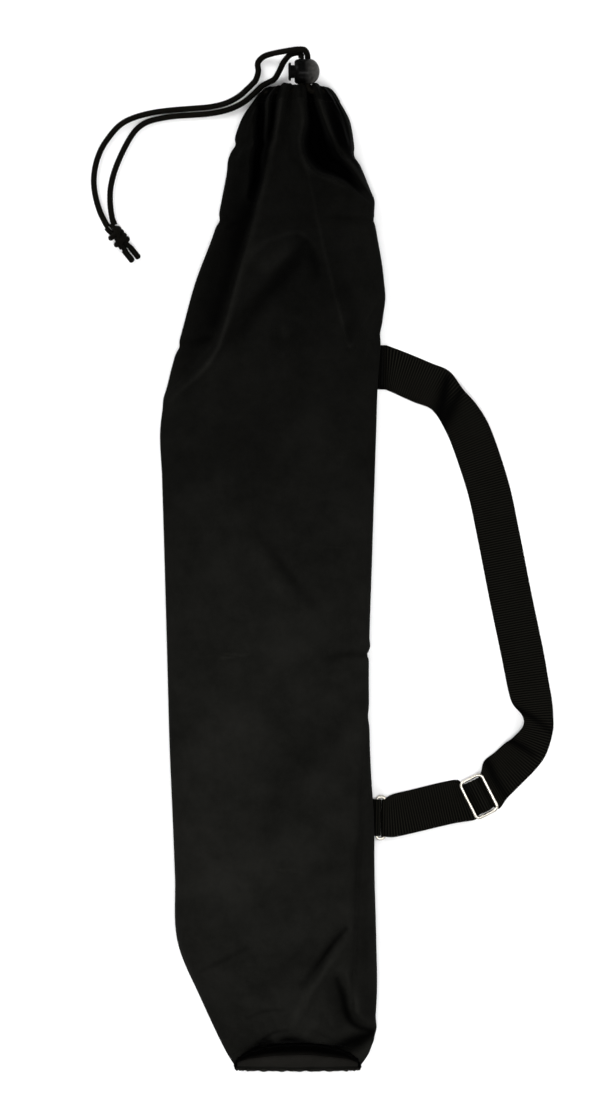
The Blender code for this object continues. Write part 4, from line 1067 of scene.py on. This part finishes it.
def crumple(points):
    """Small random creases of three sizes, from noise that is stretched along the sleeve."""
    out = []
    for x, y, _ in points.reshape(-1, 3):
        places = ((x * 55, y * 24, 0.3), (x * 120 + y * 60, y * 70 - x * 25, 5.1), (x * 230, y * 190, 9.4))
        out.append(sum(size * (0.35 - abs(noise.noise(Vector(place))))
                       for size, place in zip(CRUMPLE_SIZES, places)))
    return np.reshape(out, points.shape[:2])


def edge_shift(y, turn):
    """How far the dents and bulges move the side edges."""
    shift = np.zeros_like(y)
    for side, place, reach, width in EDGE_SHIFTS:
        facing = np.clip(side * np.cos(turn), 0, 1) ** 0.5
        shift += side * reach * MM * facing * np.exp(-((y - place * MM) / (width * MM)) ** 2)
    return shift


def base_curl(along, turn):
    """How far the cloth draws back, and how far it sinks, where it turns in over the base."""
    curl = np.clip(1 - along / BASE_CURL_REACH, 0, 1) ** 2
    crown = np.clip(np.sin(turn), 0, 1) ** 0.7
    spread = BASE_SPREAD * np.clip(-np.sin(turn), 0, 1) ** 0.6
    return curl * (BASE_DRAW * crown - spread), curl * BASE_CURL * crown


def sleeve_surface(rows, angles, crumpled=True):
    """The folded surface of the sleeve."""
    plain = wall(rows, angles)
    along = np.asarray(rows)[:, None] * np.ones(len(angles))
    turn = np.asarray(angles)[None, :] * np.ones((len(rows), 1))
    x, y, z = np.moveaxis(plain, -1, 0)
    top = turn <= math.pi
    height = fold_heights(x, y) + undulation(x, y)
    if crumpled:
        ends = smooth_step(along, 0.44, 0.60) + smooth_step(-along, -0.12, -0.01)
        height = height + crumple(plain) * (1 + 1.1 * ends)
    gathers = ruffle(turn, along)
    lift = np.where(top, smooth_step(np.sin(turn), 0.02, 0.42), 0)
    z = z + lift * (height + gathers)
    floor = np.where(top, FRONT_FLOOR, 0.0)
    z = np.where(top, floor + np.logaddexp((z - floor) / FLOOR_SOFTNESS, 0) * FLOOR_SOFTNESS, z)
    under = np.where(top, 0, smooth_step(-np.sin(turn), 0.2, 0.9))
    z = z + under * (0.0004 + 0.0004 * np.sin(x * 130) * np.sin(y * 47))
    fringe = (1 - lift) * np.where(top, 1, smooth_step(np.sin(turn), -0.7, 0)) * gathers
    x = x + edge_shift(y, turn) + np.sign(np.cos(turn)) * fringe
    back, drop = base_curl(along, turn)
    return np.stack([x, y + back, np.maximum(z - drop, CLOTH_LOWEST)], -1)


def surface_line(along, angles):
    """The folded surface at one distance from the base, a point for each angle."""
    return sleeve_surface([along], angles)[0]


def wall_line(along, angles, inset=0.0):
    """The same of the plain wall."""
    return wall([along], angles, inset)[0]


def painted_sleeve_shading(points, angles):
    """The painted shade and light of the cloth at points of the sleeve, even on the underside."""
    x, y = points[..., 0], points[..., 1]
    upper = smooth_step(np.sin(angles), -0.1, 0.2)
    painted_falloff = np.interp(y, *PAINTED_LIGHT_FALLOFF)
    return 1 + (painted_fold_shading(x, y, fold_heights(x, y), PAINTED_SHADES) * painted_falloff - 1) * upper


def sleeve_angles(top=150, corner=10, flat=22):
    upper = [math.pi * i / top for i in range(top)]
    quarter = math.pi / 4
    left = [math.pi + quarter * i / corner for i in range(corner)]
    under = [math.pi + quarter + 2 * quarter * i / flat for i in range(flat)]
    right = [math.tau - quarter + quarter * i / corner for i in range(corner)]
    return np.array(upper + left + under + right)


def sleeve_rows():
    low = np.arange(0.0, 0.100, 0.0010)
    middle = np.arange(0.100, 0.420, 0.0016)
    high = np.arange(0.420, HEM_BOTTOM - 0.0002, 0.0010)
    return np.concatenate([low, middle, high])


def build_sleeve():
    rows, angles = sleeve_rows(), sleeve_angles()
    points = sleeve_surface(rows, angles)
    around = angles / math.tau * SLEEVE_FLAT[0]
    sleeve = add_grid("sleeve_cloth", points, NYLON, rows, around, round_closed=True)
    sleeve.data.set_sharp_from_angle(angle=math.pi)
    # Painted shade and light on the sleeve's cloth.
    set_painted_shading(sleeve.data, painted_sleeve_shading(points, angles))
    solid = sleeve.modifiers.new("cloth", "SOLIDIFY")
    solid.thickness = CLOTH
    solid.offset = -1
    attach(sleeve, "bag", "nylon", "sleeve_front", "sleeve_back")
    return sleeve


SLEEVE = build_sleeve()


# Base, hem and seams.


def base_lines(across):
    """Six lines across the base panel, from its foot to the front's edge."""
    share = np.linspace(0.0, 1.0, across)
    front = surface_line(BASE_EDGE, math.pi * (1 - share))
    foot = surface_line(BASE_EDGE, math.pi * (1 + share))
    x = front[:, 0]
    span = np.clip(np.minimum(x - x[0], x[-1] - x) / (x[-1] - x[0]) * 2, 0, 1)
    depth = np.sqrt(np.sin(span * math.pi / 2))
    ripple = 0.0010 * np.sin(x * 260) + 0.0008 * np.sin(x * 133 + 1.0)

    def inner(edge, onward, up, rippled):
        return edge + np.stack([0 * depth, onward * depth, up * depth + rippled * ripple * depth], -1)
    hollow = inner(front, *BASE_HOLLOW, 0)
    hollow[:, 2] = np.maximum(hollow[:, 2], BASE_HOLLOW_LOWEST)
    return np.stack([foot, inner(foot, *BASE_SHELF, 1), inner(foot, *BASE_BROW, 1), hollow,
                     inner(front, *BASE_UNDER, 0), front])


def build_base():
    """The base panel. Its foot lies out in the light and its middle is folded in under the front's edge."""
    across, steps = 120, 10
    knots = base_lines(across)
    layers = np.stack([smooth_curve(knots[:, i], steps) for i in range(across)], 1)
    layers[..., 2] = np.maximum(layers[..., 2], 0.0006)
    back = layers[::-1] + np.array((0, BASE_THICKNESS, 0))
    points = np.concatenate([layers, back]).transpose(1, 0, 2)
    along, around = np.arange(across) * 0.0008, np.arange(points.shape[1]) * 0.0004
    disc = add_grid("base_panel", points, INNER, along, around, round_closed=True, capped=True)
    # Painted light on the foot, painted shade where the panel folds in.
    painted_tones = np.interp(np.arange(len(layers)) / steps, *BASE_PAINTED_SHADING)
    set_painted_shading(disc.data, np.tile(np.concatenate([painted_tones, painted_tones[::-1]]), across))
    attach(disc, "bag", "nylon", "base_disc")


def build_base_seam():
    """The turned seam allowance that stands out round the base."""
    steps = 220
    angles = full_turn(steps)
    ring = surface_line(0.0008, angles)
    ring[:, 1] -= 0.0009
    ring[:, 2] = np.maximum(ring[:, 2] - 0.0001, 0.0010)
    wobble = 0.00022 * np.sin(angles * 23) + 0.00018 * np.sin(angles * 41 + 1)

    def bump(place, turn):
        return wobble[:, None] + 0.00012 * np.cos(2 * turn)
    seam = add_tube("base_seam", ring, BASE_SEAM_RADIUS, NYLON, sides=10, bump=bump, closed=True)
    # Painted shade on the seam's top, painted light underneath.
    tone = np.interp(np.sin(angles), *BASE_SEAM_PAINTED_SHADING)
    set_painted_shading(seam.data, np.repeat(tone, len(seam.data.vertices) // steps))
    attach(seam, "bag", "nylon")
    return seam


def hem_lobes(angles):
    """The gathers round the hem, between -1 and 1."""
    return (0.55 * np.cos(15 * angles + 1.2 * np.sin(3 * angles) + 0.5) + 0.30 * np.cos(27 * angles + 2.0)
            + 0.15 * np.cos(53 * angles + np.sin(5 * angles)))


def hem_carried(angles):
    """How far the sleeve's folds carry the hem sideways and, within limits, up and down."""
    edge = HEM_BOTTOM - 0.0004
    carried = surface_line(edge, angles) - wall_line(edge, angles)
    carried[:, 1] = 0
    carried[:, 2] = carried[:, 2].clip(*HEM_FOLLOWS)
    return carried


def hem_rise(x, angles):
    """How far the hem stands above its plain edge: two lobes beside the cord lock, and one behind it."""
    front = 0.0020 * np.exp(-((x + 0.0515) / 0.0055) ** 2) + 0.0022 * np.exp(-((x + 0.0230) / 0.0030) ** 2)
    behind = 0.0038 * np.exp(-((x + 0.0345) / 0.0125) ** 2)
    return np.where(angles < math.pi, front, behind) - 0.0006 * (1 - hem_lobes(angles))


def hem_ring(along, inset, angles, carried, rise):
    """The hem's surface at one place of its section."""
    share = (along - HEM_LIP) / (HEM_TOP - HEM_LIP)
    outer = np.clip(1 - inset / HEM_DEEP, 0, 1)
    ring = wall_line(HEM_BOTTOM, angles, inset)
    taper = wall_line(HEM_TOP, angles, inset)
    ring = ring + (taper - ring) * (along - HEM_BOTTOM) / (HEM_TOP - HEM_BOTTOM)
    out = ring - ring.mean(0)
    out[:, 1] = 0
    out /= np.linalg.norm(out, axis=1)[:, None]
    gathers = 0.0009 * hem_lobes(angles) * outer * np.clip(share, 0.1, 1)
    ring = ring + carried * (0.45 + 0.55 * outer) + out * gathers[:, None]
    ring[:, 1] += rise * np.clip(share, 0, 1)
    return ring


def build_hem():
    """The gathered tunnel round the mouth. Its lip lies over the sleeve's edge, and it follows the gathers."""
    angles = full_turn(520)
    loop = smooth_curve(HEM_PROFILE + HEM_PROFILE[:1], 5)[:-1]
    lip, carried = wall_line(HEM_LIP, angles), hem_carried(angles)
    rise = hem_rise(lip[:, 0], angles)
    points = np.stack([hem_ring(along, inset, angles, carried, rise) for along, inset in loop], 1)
    points[..., 2] = np.maximum(points[..., 2], CLOTH_LOWEST)
    hem = add_grid("mouth_gathers", points, NYLON, distances(lip), np.arange(len(loop)) * 0.0006,
                   round_closed=True, row_closed=True)
    # Painted shade and light on the hem: the sleeve's painted shading just below it, painted shade on its
    # deeper faces, and painted light on the gathers' outer lobes with painted shade between them.
    below = surface_line(HEM_BOTTOM - 0.0020, angles)
    inside = 0.35 + 0.65 * np.clip(1 - loop[:, 1] / HEM_DEEP, 0, 1)
    tone = painted_sleeve_shading(below, angles)[:, None] * inside[None, :]
    set_painted_shading(hem.data, tone * (0.80 + 0.35 * hem_lobes(angles)[:, None]))
    attach(hem, "bag", "nylon", "mouth_hem")
    return hem


def build_base_tape():
    """The tape over the base seam, inside the sleeve."""
    angles = sleeve_angles(60, 6, 14)
    near, deep = BASE_TAPE_DEPTHS
    outer = sleeve_surface(np.linspace(*BASE_TAPE_RUN, 6), angles, crumpled=False)
    away = outer - outer.mean(1, keepdims=True)
    unit = away / np.linalg.norm(away, axis=2, keepdims=True)
    ring = np.concatenate([outer - unit * near, (outer - unit * deep)[::-1]])
    tape = add_grid("base_tape", ring, TAPE, np.arange(len(ring)) * 0.0015, np.arange(len(angles)) * 0.002,
                    round_closed=True, row_closed=True)
    attach(tape, "bag", "seam_tape", "base_binding")


def build_side_tape():
    """The tape over the side seam, inside the sleeve."""
    near, deep = SIDE_TAPE_DEPTHS
    rows = np.linspace(*SIDE_TAPE_RUN, 240)
    outer = sleeve_surface(rows, np.radians(np.linspace(*SIDE_TAPE_DEGREES, 8)), crumpled=False)
    inwards = np.array(SIDE_TAPE_INWARDS) / math.hypot(*SIDE_TAPE_INWARDS)
    strip = np.concatenate([outer + inwards * near, (outer + inwards * deep)[:, ::-1]], 1)
    across = np.arange(strip.shape[1]) * 0.0012
    seam = add_grid("side_tape", strip, TAPE, rows, across, round_closed=True, capped=True)
    attach(seam, "bag", "seam_tape", "side_seam_binding")


def stitch_runs(line, lift, length, gap, radius):
    """Short bowed runs of thread along a line, which dip into the cloth at both ends."""
    line = evenly(line, 0.0004)
    whole = distances(line)[-1]
    bow = np.sin(np.linspace(0, math.pi, 7))[:, None]
    runs = []
    start = gap
    while start + length < whole:
        points = at_places(line, np.linspace(start, start + length, 7))
        runs.append(points + lift * (bow * radius * 1.5 - radius * 0.6))
        start += length + gap
    return runs


def tube_rings(points, radius, sides):
    """Vertices of a thin tube whose ends are narrower."""
    vertices = []
    for i, (point, first, second) in enumerate(zip(points, *path_frames(points))):
        fat = radius * (0.55 if i in (0, len(points) - 1) else 1.0)
        vertices += [tuple(point + fat * (math.cos(turn) * first + math.sin(turn) * second))
                     for turn in full_turn(sides)]
    return vertices


def add_stitches(name, line, lift, length=0.0022, gap=0.0009, radius=0.00017, sides=6):
    """A row of stitches along a line, as one piece of many short threads."""
    vertices, faces, loops = [], [], []
    for points in stitch_runs(line, np.array(lift, float), length, gap, radius):
        base = len(vertices)
        last = base + (len(points) - 1) * sides
        vertices += tube_rings(points, radius, sides)
        for i, ring in enumerate(range(base, last, sides)):
            for k in range(sides):
                j = (k + 1) % sides
                faces.append((ring + k, ring + j, ring + sides + j, ring + sides + k))
                u, v = k * 0.0002, i * 0.0004
                loops += [(u, v), (u + 0.0002, v), (u + 0.0002, v + 0.0004), (u, v + 0.0004)]
        faces += [tuple(range(base, base + sides)), tuple(range(last, last + sides))]
        loops += [(0, 0)] * (2 * sides)
    attach(add_object(name, vertices, faces, THREAD, loops), "bag", "thread")


def build_seam_stitches():
    angles = np.radians(np.linspace(4, 176, 400))
    for name, along in (("hem_stitches", HEM_STITCHES), ("base_stitches", BASE_STITCHES)):
        add_stitches(name, surface_line(along, angles), (0, 0, 1.0))


def hem_angle(x):
    """The angle at which the cord in the hem passes x on the upper side."""
    left, right, _ = station(CORD_ALONG)
    share = (x - (left + right) / 2) / ((right - left) / 2 - HEM_THICKNESS / 2)
    return math.acos(math.copysign(abs(share) ** (ARCH_POWER / 2), share))


def cord_upturn(x, side):
    """The cord's way from the lock's far side down into the hem."""
    hem_y = BASE_Y + CORD_ALONG
    points = [(x, LOCK_CENTRE.y + LOCK_RADIUS, LOCK_CENTRE.z), (x, hem_y + CORD_BEND, LOCK_CENTRE.z)]
    for turn in (math.radians(30), math.radians(60)):
        out = x + side * CORD_BEND * (1 - math.cos(turn))
        z = wall_line(CORD_ALONG, [hem_angle(out)], HEM_THICKNESS / 2)[0, 2]
        points.append((out, hem_y + CORD_BEND * (1 - math.sin(turn)), z))
    return points


def build_inner_cord():
    """The cord round the hem and up through the lock, with the braid where it shows."""
    start_x, end_x = LOCK_CENTRE.x - CORD_SPACING / 2, LOCK_CENTRE.x + CORD_SPACING / 2
    start = hem_angle(start_x - CORD_BEND)
    end = hem_angle(end_x + CORD_BEND) + math.tau
    turns = np.linspace(start, end, 40) % math.tau
    around = wall_line(CORD_ALONG, turns, HEM_THICKNESS / 2)
    around[:, 2] = np.maximum(around[:, 2] + 0.85 * hem_carried(turns)[:, 2], 0.0032)
    route = cord_upturn(start_x, -1) + [tuple(p) for p in around] + cord_upturn(end_x, 1)[::-1]
    cord, _ = add_braid("drawcord_in_hem", route, 0.0005, CORD_DIAMETER / 2 - 0.0001)
    attach(cord, "bag", "cord", "drawcord")


build_base()
BASE_SEAM = build_base_seam()
HEM = build_hem()
build_base_tape()
build_side_tape()
build_seam_stitches()
build_inner_cord()


# Strap.

def swing_frame():
    """Local Y runs along the line that the strap swings about, local X points away from the sleeve."""
    along = (SWING_TOP - SWING_LOW).normalized()
    up = Vector((0, 0, 1))
    out = along.cross(up).normalized()
    up = out.cross(along)
    matrix = Matrix((out, along, up)).transposed().to_4x4()
    matrix.translation = SWING_LOW
    return matrix


RING_BAR = swing_frame() @ Vector((RING_REACH, 0, 0))
RUN = (SLIDER_CENTRE - RING_BAR).xy
RUN_LENGTH = RUN.length
RUN_HEADING = math.atan2(RUN.y, RUN.x)


def edges_of(centre, heading, width, roll=0.0):
    """Both edges of the webbing at a place on its run. A roll lifts the edge on the left of the heading."""
    side = Vector((-math.sin(heading), math.cos(heading), 0)) * math.cos(roll) + Vector((0, 0, math.sin(roll)))
    return centre + side * width / 2, centre - side * width / 2


def between(value, table):
    """Straight reading of a table of (place, reading) pairs."""
    for (start, low), (end, high) in zip(table, table[1:]):
        if value <= end:
            return low + (high - low) * max(0, (value - start) / (end - start))
    return table[-1][1]


def lower_place(distance):
    """A place on the run between ring and slider. In the slider the webbing lies square to the bar."""
    if distance > RUN_LENGTH - SLIDER_SIZE[0] / 2:
        square = Vector((math.cos(SLIDER_TURN), math.sin(SLIDER_TURN)))
        return SLIDER_CENTRE.xy + square * (distance - RUN_LENGTH)
    return RING_BAR.xy + RUN.normalized() * distance


def lower_run():
    """The strap's lower run as (distance from the ring's bar, height), from the slider to its stitched end."""
    bar_z, run = SLIDER_CENTRE.z, RUN_LENGTH
    first = STRAP_FLOOR
    second = first + WEBBING_THICKNESS + LAYER_GAP
    third = second + WEBBING_THICKNESS + LAYER_GAP
    wrap = WIRE / 2 + LOOP_CLEARANCE + WEBBING_THICKNESS / 2
    hump = wrap + WEBBING_THICKNESS + LAYER_GAP
    top, low = RING_BAR.z + wrap, RING_BAR.z - wrap
    down = ((0.0085, third), (0.0055, third + 0.00025), (0.0038, third + 0.00120))
    return [
        *((run + s, z) for s, z in down),
        *arc(run, bar_z, hump, range(0, 181, 20)),
        *((run - s, z) for s, z in reversed(down)),
        (run - 0.0200, third), (0.020, top - 0.0006), (0.006, top),
        *arc(0, RING_BAR.z, wrap, range(90, 271, 20)),
        (0.006, low), (0.020, first), (run - 0.012, first), (run - 0.0070, first),
        (run - 0.0046, first + 0.0004), (run - 0.0024, first + 0.0017),
        *arc(run, bar_z, wrap, range(-105, 196, 25)),
        (run - 0.0024, second + 0.0020), (run - 0.0040, second + 0.0006),
        (run - 0.0066, second), (run - 0.0160, second),
    ]


def strap_edges():
    """Edge pairs along the whole webbing, from the sewn end to the end stitched at the slider."""
    pairs = [edges_of(Vector((x, y, z)), math.radians(heading), width, math.radians(roll))
             for x, y, heading, width, z, roll in STRAP_STATIONS]
    run = RUN_LENGTH
    line = SWING_TOP - SWING_LOW
    square = math.atan2(line.y, line.x) - math.pi / 2
    headings = ((0, square), (0.016, RUN_HEADING), (run - 0.018, RUN_HEADING), (run - 0.004, SLIDER_TURN))
    widths = ((0, RING_BAND), (0.0015, RING_BAND), (0.0050, WEBBING), (run - 0.0100, WEBBING),
              (run - 0.0060, SLIDER_BAND), (run + 0.0055, SLIDER_BAND), (run + 0.0090, WEBBING))
    for distance, z in lower_run():
        centre = Vector((*lower_place(distance), z))
        pairs.append(edges_of(centre, between(distance, headings) + math.pi, between(distance, widths)))
    return pairs


def ribbon_lines(pairs, spacing):
    """The two edges of a band as fine lines, point by point beside each other, and the place of each point."""
    left = smooth_curve([pair[0] for pair in pairs], 24)
    right = smooth_curve([pair[1] for pair in pairs], 24)
    both = evenly(np.concatenate([(left + right) / 2, left, right], 1), spacing)
    return both[:, 3:6], both[:, 6:9], distances(both[:, :3])


def ribbon_grid(left, right, places, thickness=WEBBING_THICKNESS, across=30, rib=RIB_HEIGHT):
    """Closed rings round a band with round edges and ribs across it, leaning to and fro like a herringbone."""
    share = signed_power(np.cos(np.linspace(0, math.pi, across // 2 + 1)), 0.85)
    profile = (1 - np.abs(share) ** 14) ** 0.5
    middle, side = (left + right) / 2, (left - right) / 2
    normal = np.cross(np.gradient(middle, axis=0), side)
    normal /= np.linalg.norm(normal, axis=1)[:, None]
    zigzag = np.abs(((share * 4.0) % 2) - 1)
    phase = places[:, None] / RIB_PITCH + 0.10 * zigzag[None, :]
    ribs = rib * (np.abs(np.sin(math.pi * phase)) - 0.5) * profile[None, :]
    selvedge = 0.00008 * np.exp(-((np.abs(share) - 0.93) / 0.03) ** 2)
    height = profile[None, :] * (thickness / 2 - rib * 0.5) + ribs + selvedge[None, :]
    flat = middle[:, None] + side[:, None] * share[None, :, None]
    raised = normal[:, None] * height[..., None]
    points = np.concatenate([flat + raised, (flat - raised)[:, -2:0:-1]], 1)
    width = float(np.linalg.norm(left - right, axis=1).mean())
    u = np.concatenate([share, share[-2:0:-1] + 2]) * width / 2
    return points, u


def add_band(name, points, places, u):
    """A piece of the strap's webbing, darker where it is in shade."""
    band = add_grid(name, points, BAND, places, u, round_closed=True, capped=True)
    x, y = points[..., 0], points[..., 1]
    # Painted shade from the strap's lines of painted shade.
    set_painted_shading(band.data, painted_fold_shading(x, y, np.zeros_like(x), STRAP_PAINTED_SHADES))
    return band


def build_strap():
    """The strap, cut where it starts to swing. The short rest goes on to the sewn end under the sleeve."""
    left, right, places = ribbon_lines(strap_edges(), STRAP_SPACING)
    points, u = ribbon_grid(left, right, places)
    points[..., 2] = np.maximum(points[..., 2], STRAP_LOWEST)
    cut = int(np.searchsorted(places, STRAP_CUT))
    strap = add_band("shoulder_strap", points[cut:], places[cut:], u)
    attach(strap, "strap", "webbing", "strap_webbing")

    heading = math.radians(STRAP_STATIONS[0][2])
    onward = np.array((math.cos(heading), math.sin(heading), 0))
    back = np.arange(-STRAP_SEWN, -0.0001, STRAP_SPACING)
    edges = [np.concatenate([edge[0] + onward * back[:, None], edge[:cut + 1]]) for edge in (left, right)]
    sewn_places = np.concatenate([back, places[:cut + 1]])
    sewn_points, u = ribbon_grid(*edges, sewn_places)
    sewn_points[-1] = points[cut]
    sewn_points[..., 2] = np.maximum(sewn_points[..., 2], STRAP_LOWEST)
    sewn = add_band("strap_root", sewn_points, sewn_places, u)
    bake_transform(sewn)
    stand_in(sewn, "webbing", "strap_sewn_end")


def build_bar_tack(name, node, body, place, length, width, pitch=0.00042, radius=0.00016):
    """A bar tack: thread sewn to and fro across a narrow strip."""
    count = int(length / pitch)
    route = []
    for i in range(count + 1):
        y = -length / 2 + length * i / count
        x = width / 2 * (1 if i % 2 else -1)
        route.append((x * 0.98, y, 0.0))
        route.append((x * 0.15, y + pitch / 2, radius * 0.9))
    path = evenly(smooth_curve(route, 4), 0.00016)
    tack = place_object(add_tube(name, path, radius, THREAD, sides=7), place)
    attach(tack, body, "thread", node)


def build_bar_tacks():
    x, y, heading, _, z, _ = STRAP_STATIONS[0]
    lift = WEBBING_THICKNESS / 2
    turn = Matrix.Rotation(math.radians(heading), 4, "Z")
    place = Matrix.Translation((x, y, z + lift + 0.0002)) @ turn @ Matrix.Translation((-0.0024, 0, 0))
    build_bar_tack("strap_tack", "strap_end_stitch", "bag", place, *STRAP_TACK)
    place = swing_frame() @ Matrix.Translation((TAB_END_X + 0.0013, 0, -0.0004))
    build_bar_tack("tab_tack", "ring_tab_stitch", "bag", place, *TAB_TACK)
    x, y = RING_BAR.xy + RUN.normalized() * (RUN_LENGTH - LOOP_TACK_BACK)
    place = Matrix.Translation((x, y, STRAP_FLOOR + lift + 0.0005)) @ Matrix.Rotation(RUN_HEADING, 4, "Z")
    build_bar_tack("loop_tack", "slider_loop_stitch", "strap", place, *LOOP_TACK)


def wire_loop(width, length, corner, steps=14):
    """The middle line of a wire bent to a rectangle with round corners."""
    points = []
    for quarter in range(4):
        x_side = 1 if quarter in (0, 3) else -1
        y_side = 1 if quarter in (0, 1) else -1
        for i in range(steps + 1):
            turn = math.pi / 2 * (quarter + i / steps)
            points.append((x_side * (width / 2 - corner) + corner * math.cos(turn),
                           y_side * (length / 2 - corner) + corner * math.sin(turn), 0.0))
    points.append(points[0])
    return evenly(points, 0.0004)[:-1]


def add_wire(name, node, body, line, place, radius=WIRE / 2, closed=True):
    """A bent or straight piece of plated wire."""
    wire = place_object(add_tube(name, line, radius, NICKEL, sides=24, closed=closed), place)
    attach(wire, body, "nickel_wire", node)


def build_wires():
    """The slider's frame and the bar across it, and the ring."""
    place = Matrix.Translation(SLIDER_CENTRE) @ Matrix.Rotation(SLIDER_TURN, 4, "Z")
    width, length = SLIDER_SIZE
    loop = wire_loop(width - WIRE, length - WIRE, SLIDER_CORNER - WIRE / 2)
    add_wire("slider_wire", "slider_frame", "slider", loop, place)
    reach, rounded = length / 2 - WIRE - LOOP_CLEARANCE, 0.0006
    line = np.stack([np.zeros(60), np.linspace(-reach, reach, 60), np.zeros(60)], -1)
    tip = np.clip((np.abs(line[:, 1]) - reach + rounded) / rounded, 0, 0.96)
    radius = WIRE / 2 * np.sqrt(1 - tip ** 2)
    add_wire("slider_crossbar", "slider_bar", "slider", line, place, radius, closed=False)
    loop = wire_loop(RING_REACH, RING_LENGTH - WIRE, RING_CORNER - WIRE / 2)
    place = swing_frame() @ Matrix.Translation((RING_REACH / 2, 0, 0))
    add_wire("ring_wire", "strap_ring", "strap", loop, place)


def build_tab():
    """The doubled webbing that holds the ring: over the wire and back, its two layers sewn together."""
    layer = 0.0007
    wrap = WIRE / 2 + LOOP_CLEARANCE + WEBBING_THICKNESS / 2 + TAB_ROOM
    low = -(wrap + layer / 2)
    route = [(TAB_END_X, low + 0.0001), (-0.0036, low + 0.0001), (-0.0014, low),
             *arc(0, 0, wrap, range(-90, 91, 15)),
             (-0.0012, wrap - 0.0001), (-0.0026, 0.0007), (-0.0038, low + 0.0010), (TAB_END_X, low + 0.0009)]
    half = TAB_WIDTH / 2
    pairs = [(Vector((x, half, z)), Vector((x, -half, z))) for x, z in route]
    left, right, places = ribbon_lines(pairs, 0.00030)
    points, u = ribbon_grid(left, right, places, thickness=layer, rib=0.00006)
    tab = add_grid("ring_loop", points, BAND, places, u, round_closed=True, capped=True)
    attach(place_object(tab, swing_frame()), "bag", "webbing", "ring_tab")


build_strap()
build_bar_tacks()
build_wires()
build_tab()


# Cord lock.

def slot_cutter(length, height, place, reach=0.0110):
    """A bar with round ends, long along local X, that runs through along local Y."""
    outline = []
    for end in (1, -1):
        for i in range(13):
            turn = math.pi * i / 12 - math.pi / 2
            outline.append((end * ((length - height) / 2 + height / 2 * math.cos(turn)),
                            end * height / 2 * math.sin(turn)))
    grid = np.array([[(x, y, z) for x, z in outline] for y in (-reach, reach)])
    cutter = add_grid("slot_cutter", grid, LOCK, np.arange(2.0), np.arange(float(len(outline))),
                      round_closed=True, capped=True)
    return place_object(cutter, place)


def build_barrel(place):
    """The lock's barrel: open at the left, a dome at the right, and a slot through it for the cords."""
    mouth, bore = LOCK_OPEN_END, LOCK_BORE_RADIUS
    profile = [(LOCK_BORE_END, 0.0), (LOCK_BORE_END, bore), (mouth + 0.0004, bore), (mouth, bore + 0.0004),
               (mouth, 0.0064), (mouth + 0.0003, 0.0070), (mouth + 0.0010, 0.0076), (mouth + 0.0018, 0.00785),
               (-0.0036, 0.00800), (-0.0034, 0.00782), (-0.0030, 0.00782), (-0.0028, 0.00806),
               (0.0, LOCK_RADIUS)]
    for i in range(18):
        turn = math.radians(5 * i)
        profile.append((LOCK_DOME_START + (LOCK_CLOSED_END - LOCK_DOME_START) * math.sin(turn),
                        LOCK_RADIUS * math.cos(turn)))
    profile.append((LOCK_CLOSED_END, 0.0))
    barrel = turned("lock_barrel", profile, LOCK, place)
    carve(barrel, slot_cutter(*LOCK_SLOT, place))
    soften(barrel, 0.00018)
    # Painted shade over the barrel's left, and a painted highlight rising over its right half to the dome.
    along = np.array([vertex.co.x for vertex in barrel.data.vertices]) - LOCK_CENTRE.x
    set_painted_shading(barrel.data, LOCK_PAINTED_SHADE + LOCK_PAINTED_HIGHLIGHT * smooth_step(along, *LOCK_PAINTED_HIGHLIGHT_RUN))
    attach(barrel, "cord_lock", "lock_plastic", "cord_lock_barrel")


def build_plunger(place):
    """The button and its rod, whose slot lets the cords through at every place of its travel."""
    face, back, radius = BUTTON_SHAPE
    profile = [(face, 0.0), (face, 0.0016), (face + 0.00025, 0.0020), (face + 0.00025, 0.0036), (face, 0.0040),
               (face, radius - 0.0010), (face + 0.0002, radius - 0.0004), (face + 0.0006, radius),
               (back - 0.0002, radius), (back, radius - 0.0002), (back, PLUNGER_RADIUS),
               (PLUNGER_END, PLUNGER_RADIUS), (PLUNGER_END, 0.0)]
    plunger = turned("lock_plunger_rod", profile, BUTTON, place)
    length, height = LOCK_SLOT
    slot_place = place @ Matrix.Translation((-PLUNGER_TRAVEL / 2, 0, 0))
    carve(plunger, slot_cutter(length - 0.0006 + PLUNGER_TRAVEL, height, slot_place))
    soften(plunger, 0.00012)
    attach(plunger, "lock_plunger", "plunger_plastic", "cord_lock_plunger")


def build_spring(place):
    start = PLUNGER_END + SPRING_CLEARANCE + SPRING_WIRE / 2
    end = LOCK_BORE_END - SPRING_CLEARANCE - SPRING_WIRE / 2
    turns = np.linspace(0, math.tau * SPRING_TURNS, 120)
    x = np.interp(turns, (0, turns[-1]), (start, end))
    route = np.stack([x, SPRING_RADIUS * np.cos(turns), SPRING_RADIUS * np.sin(turns)], -1)
    spring = place_object(add_tube("lock_spring", route, SPRING_WIRE / 2, STEEL, sides=10), place)
    attach(spring, "cord_lock", "spring_steel", "cord_lock_spring")
    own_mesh(spring)


def build_lock():
    place = Matrix.Translation(LOCK_CENTRE)
    build_barrel(place)
    build_plunger(place)
    build_spring(place)


def soften(made, width):
    """Small bevels along hard edges, as a mould leaves them."""
    made.data.shade_smooth()
    made.data.set_sharp_from_angle(angle=math.radians(35))
    bevel = made.modifiers.new("edge", "BEVEL")
    bevel.width = width
    bevel.segments = 2
    bevel.limit_method = "ANGLE"
    bevel.angle_limit = math.radians(50)
    bevel.use_clamp_overlap = True
    bevel.harden_normals = True


build_lock()
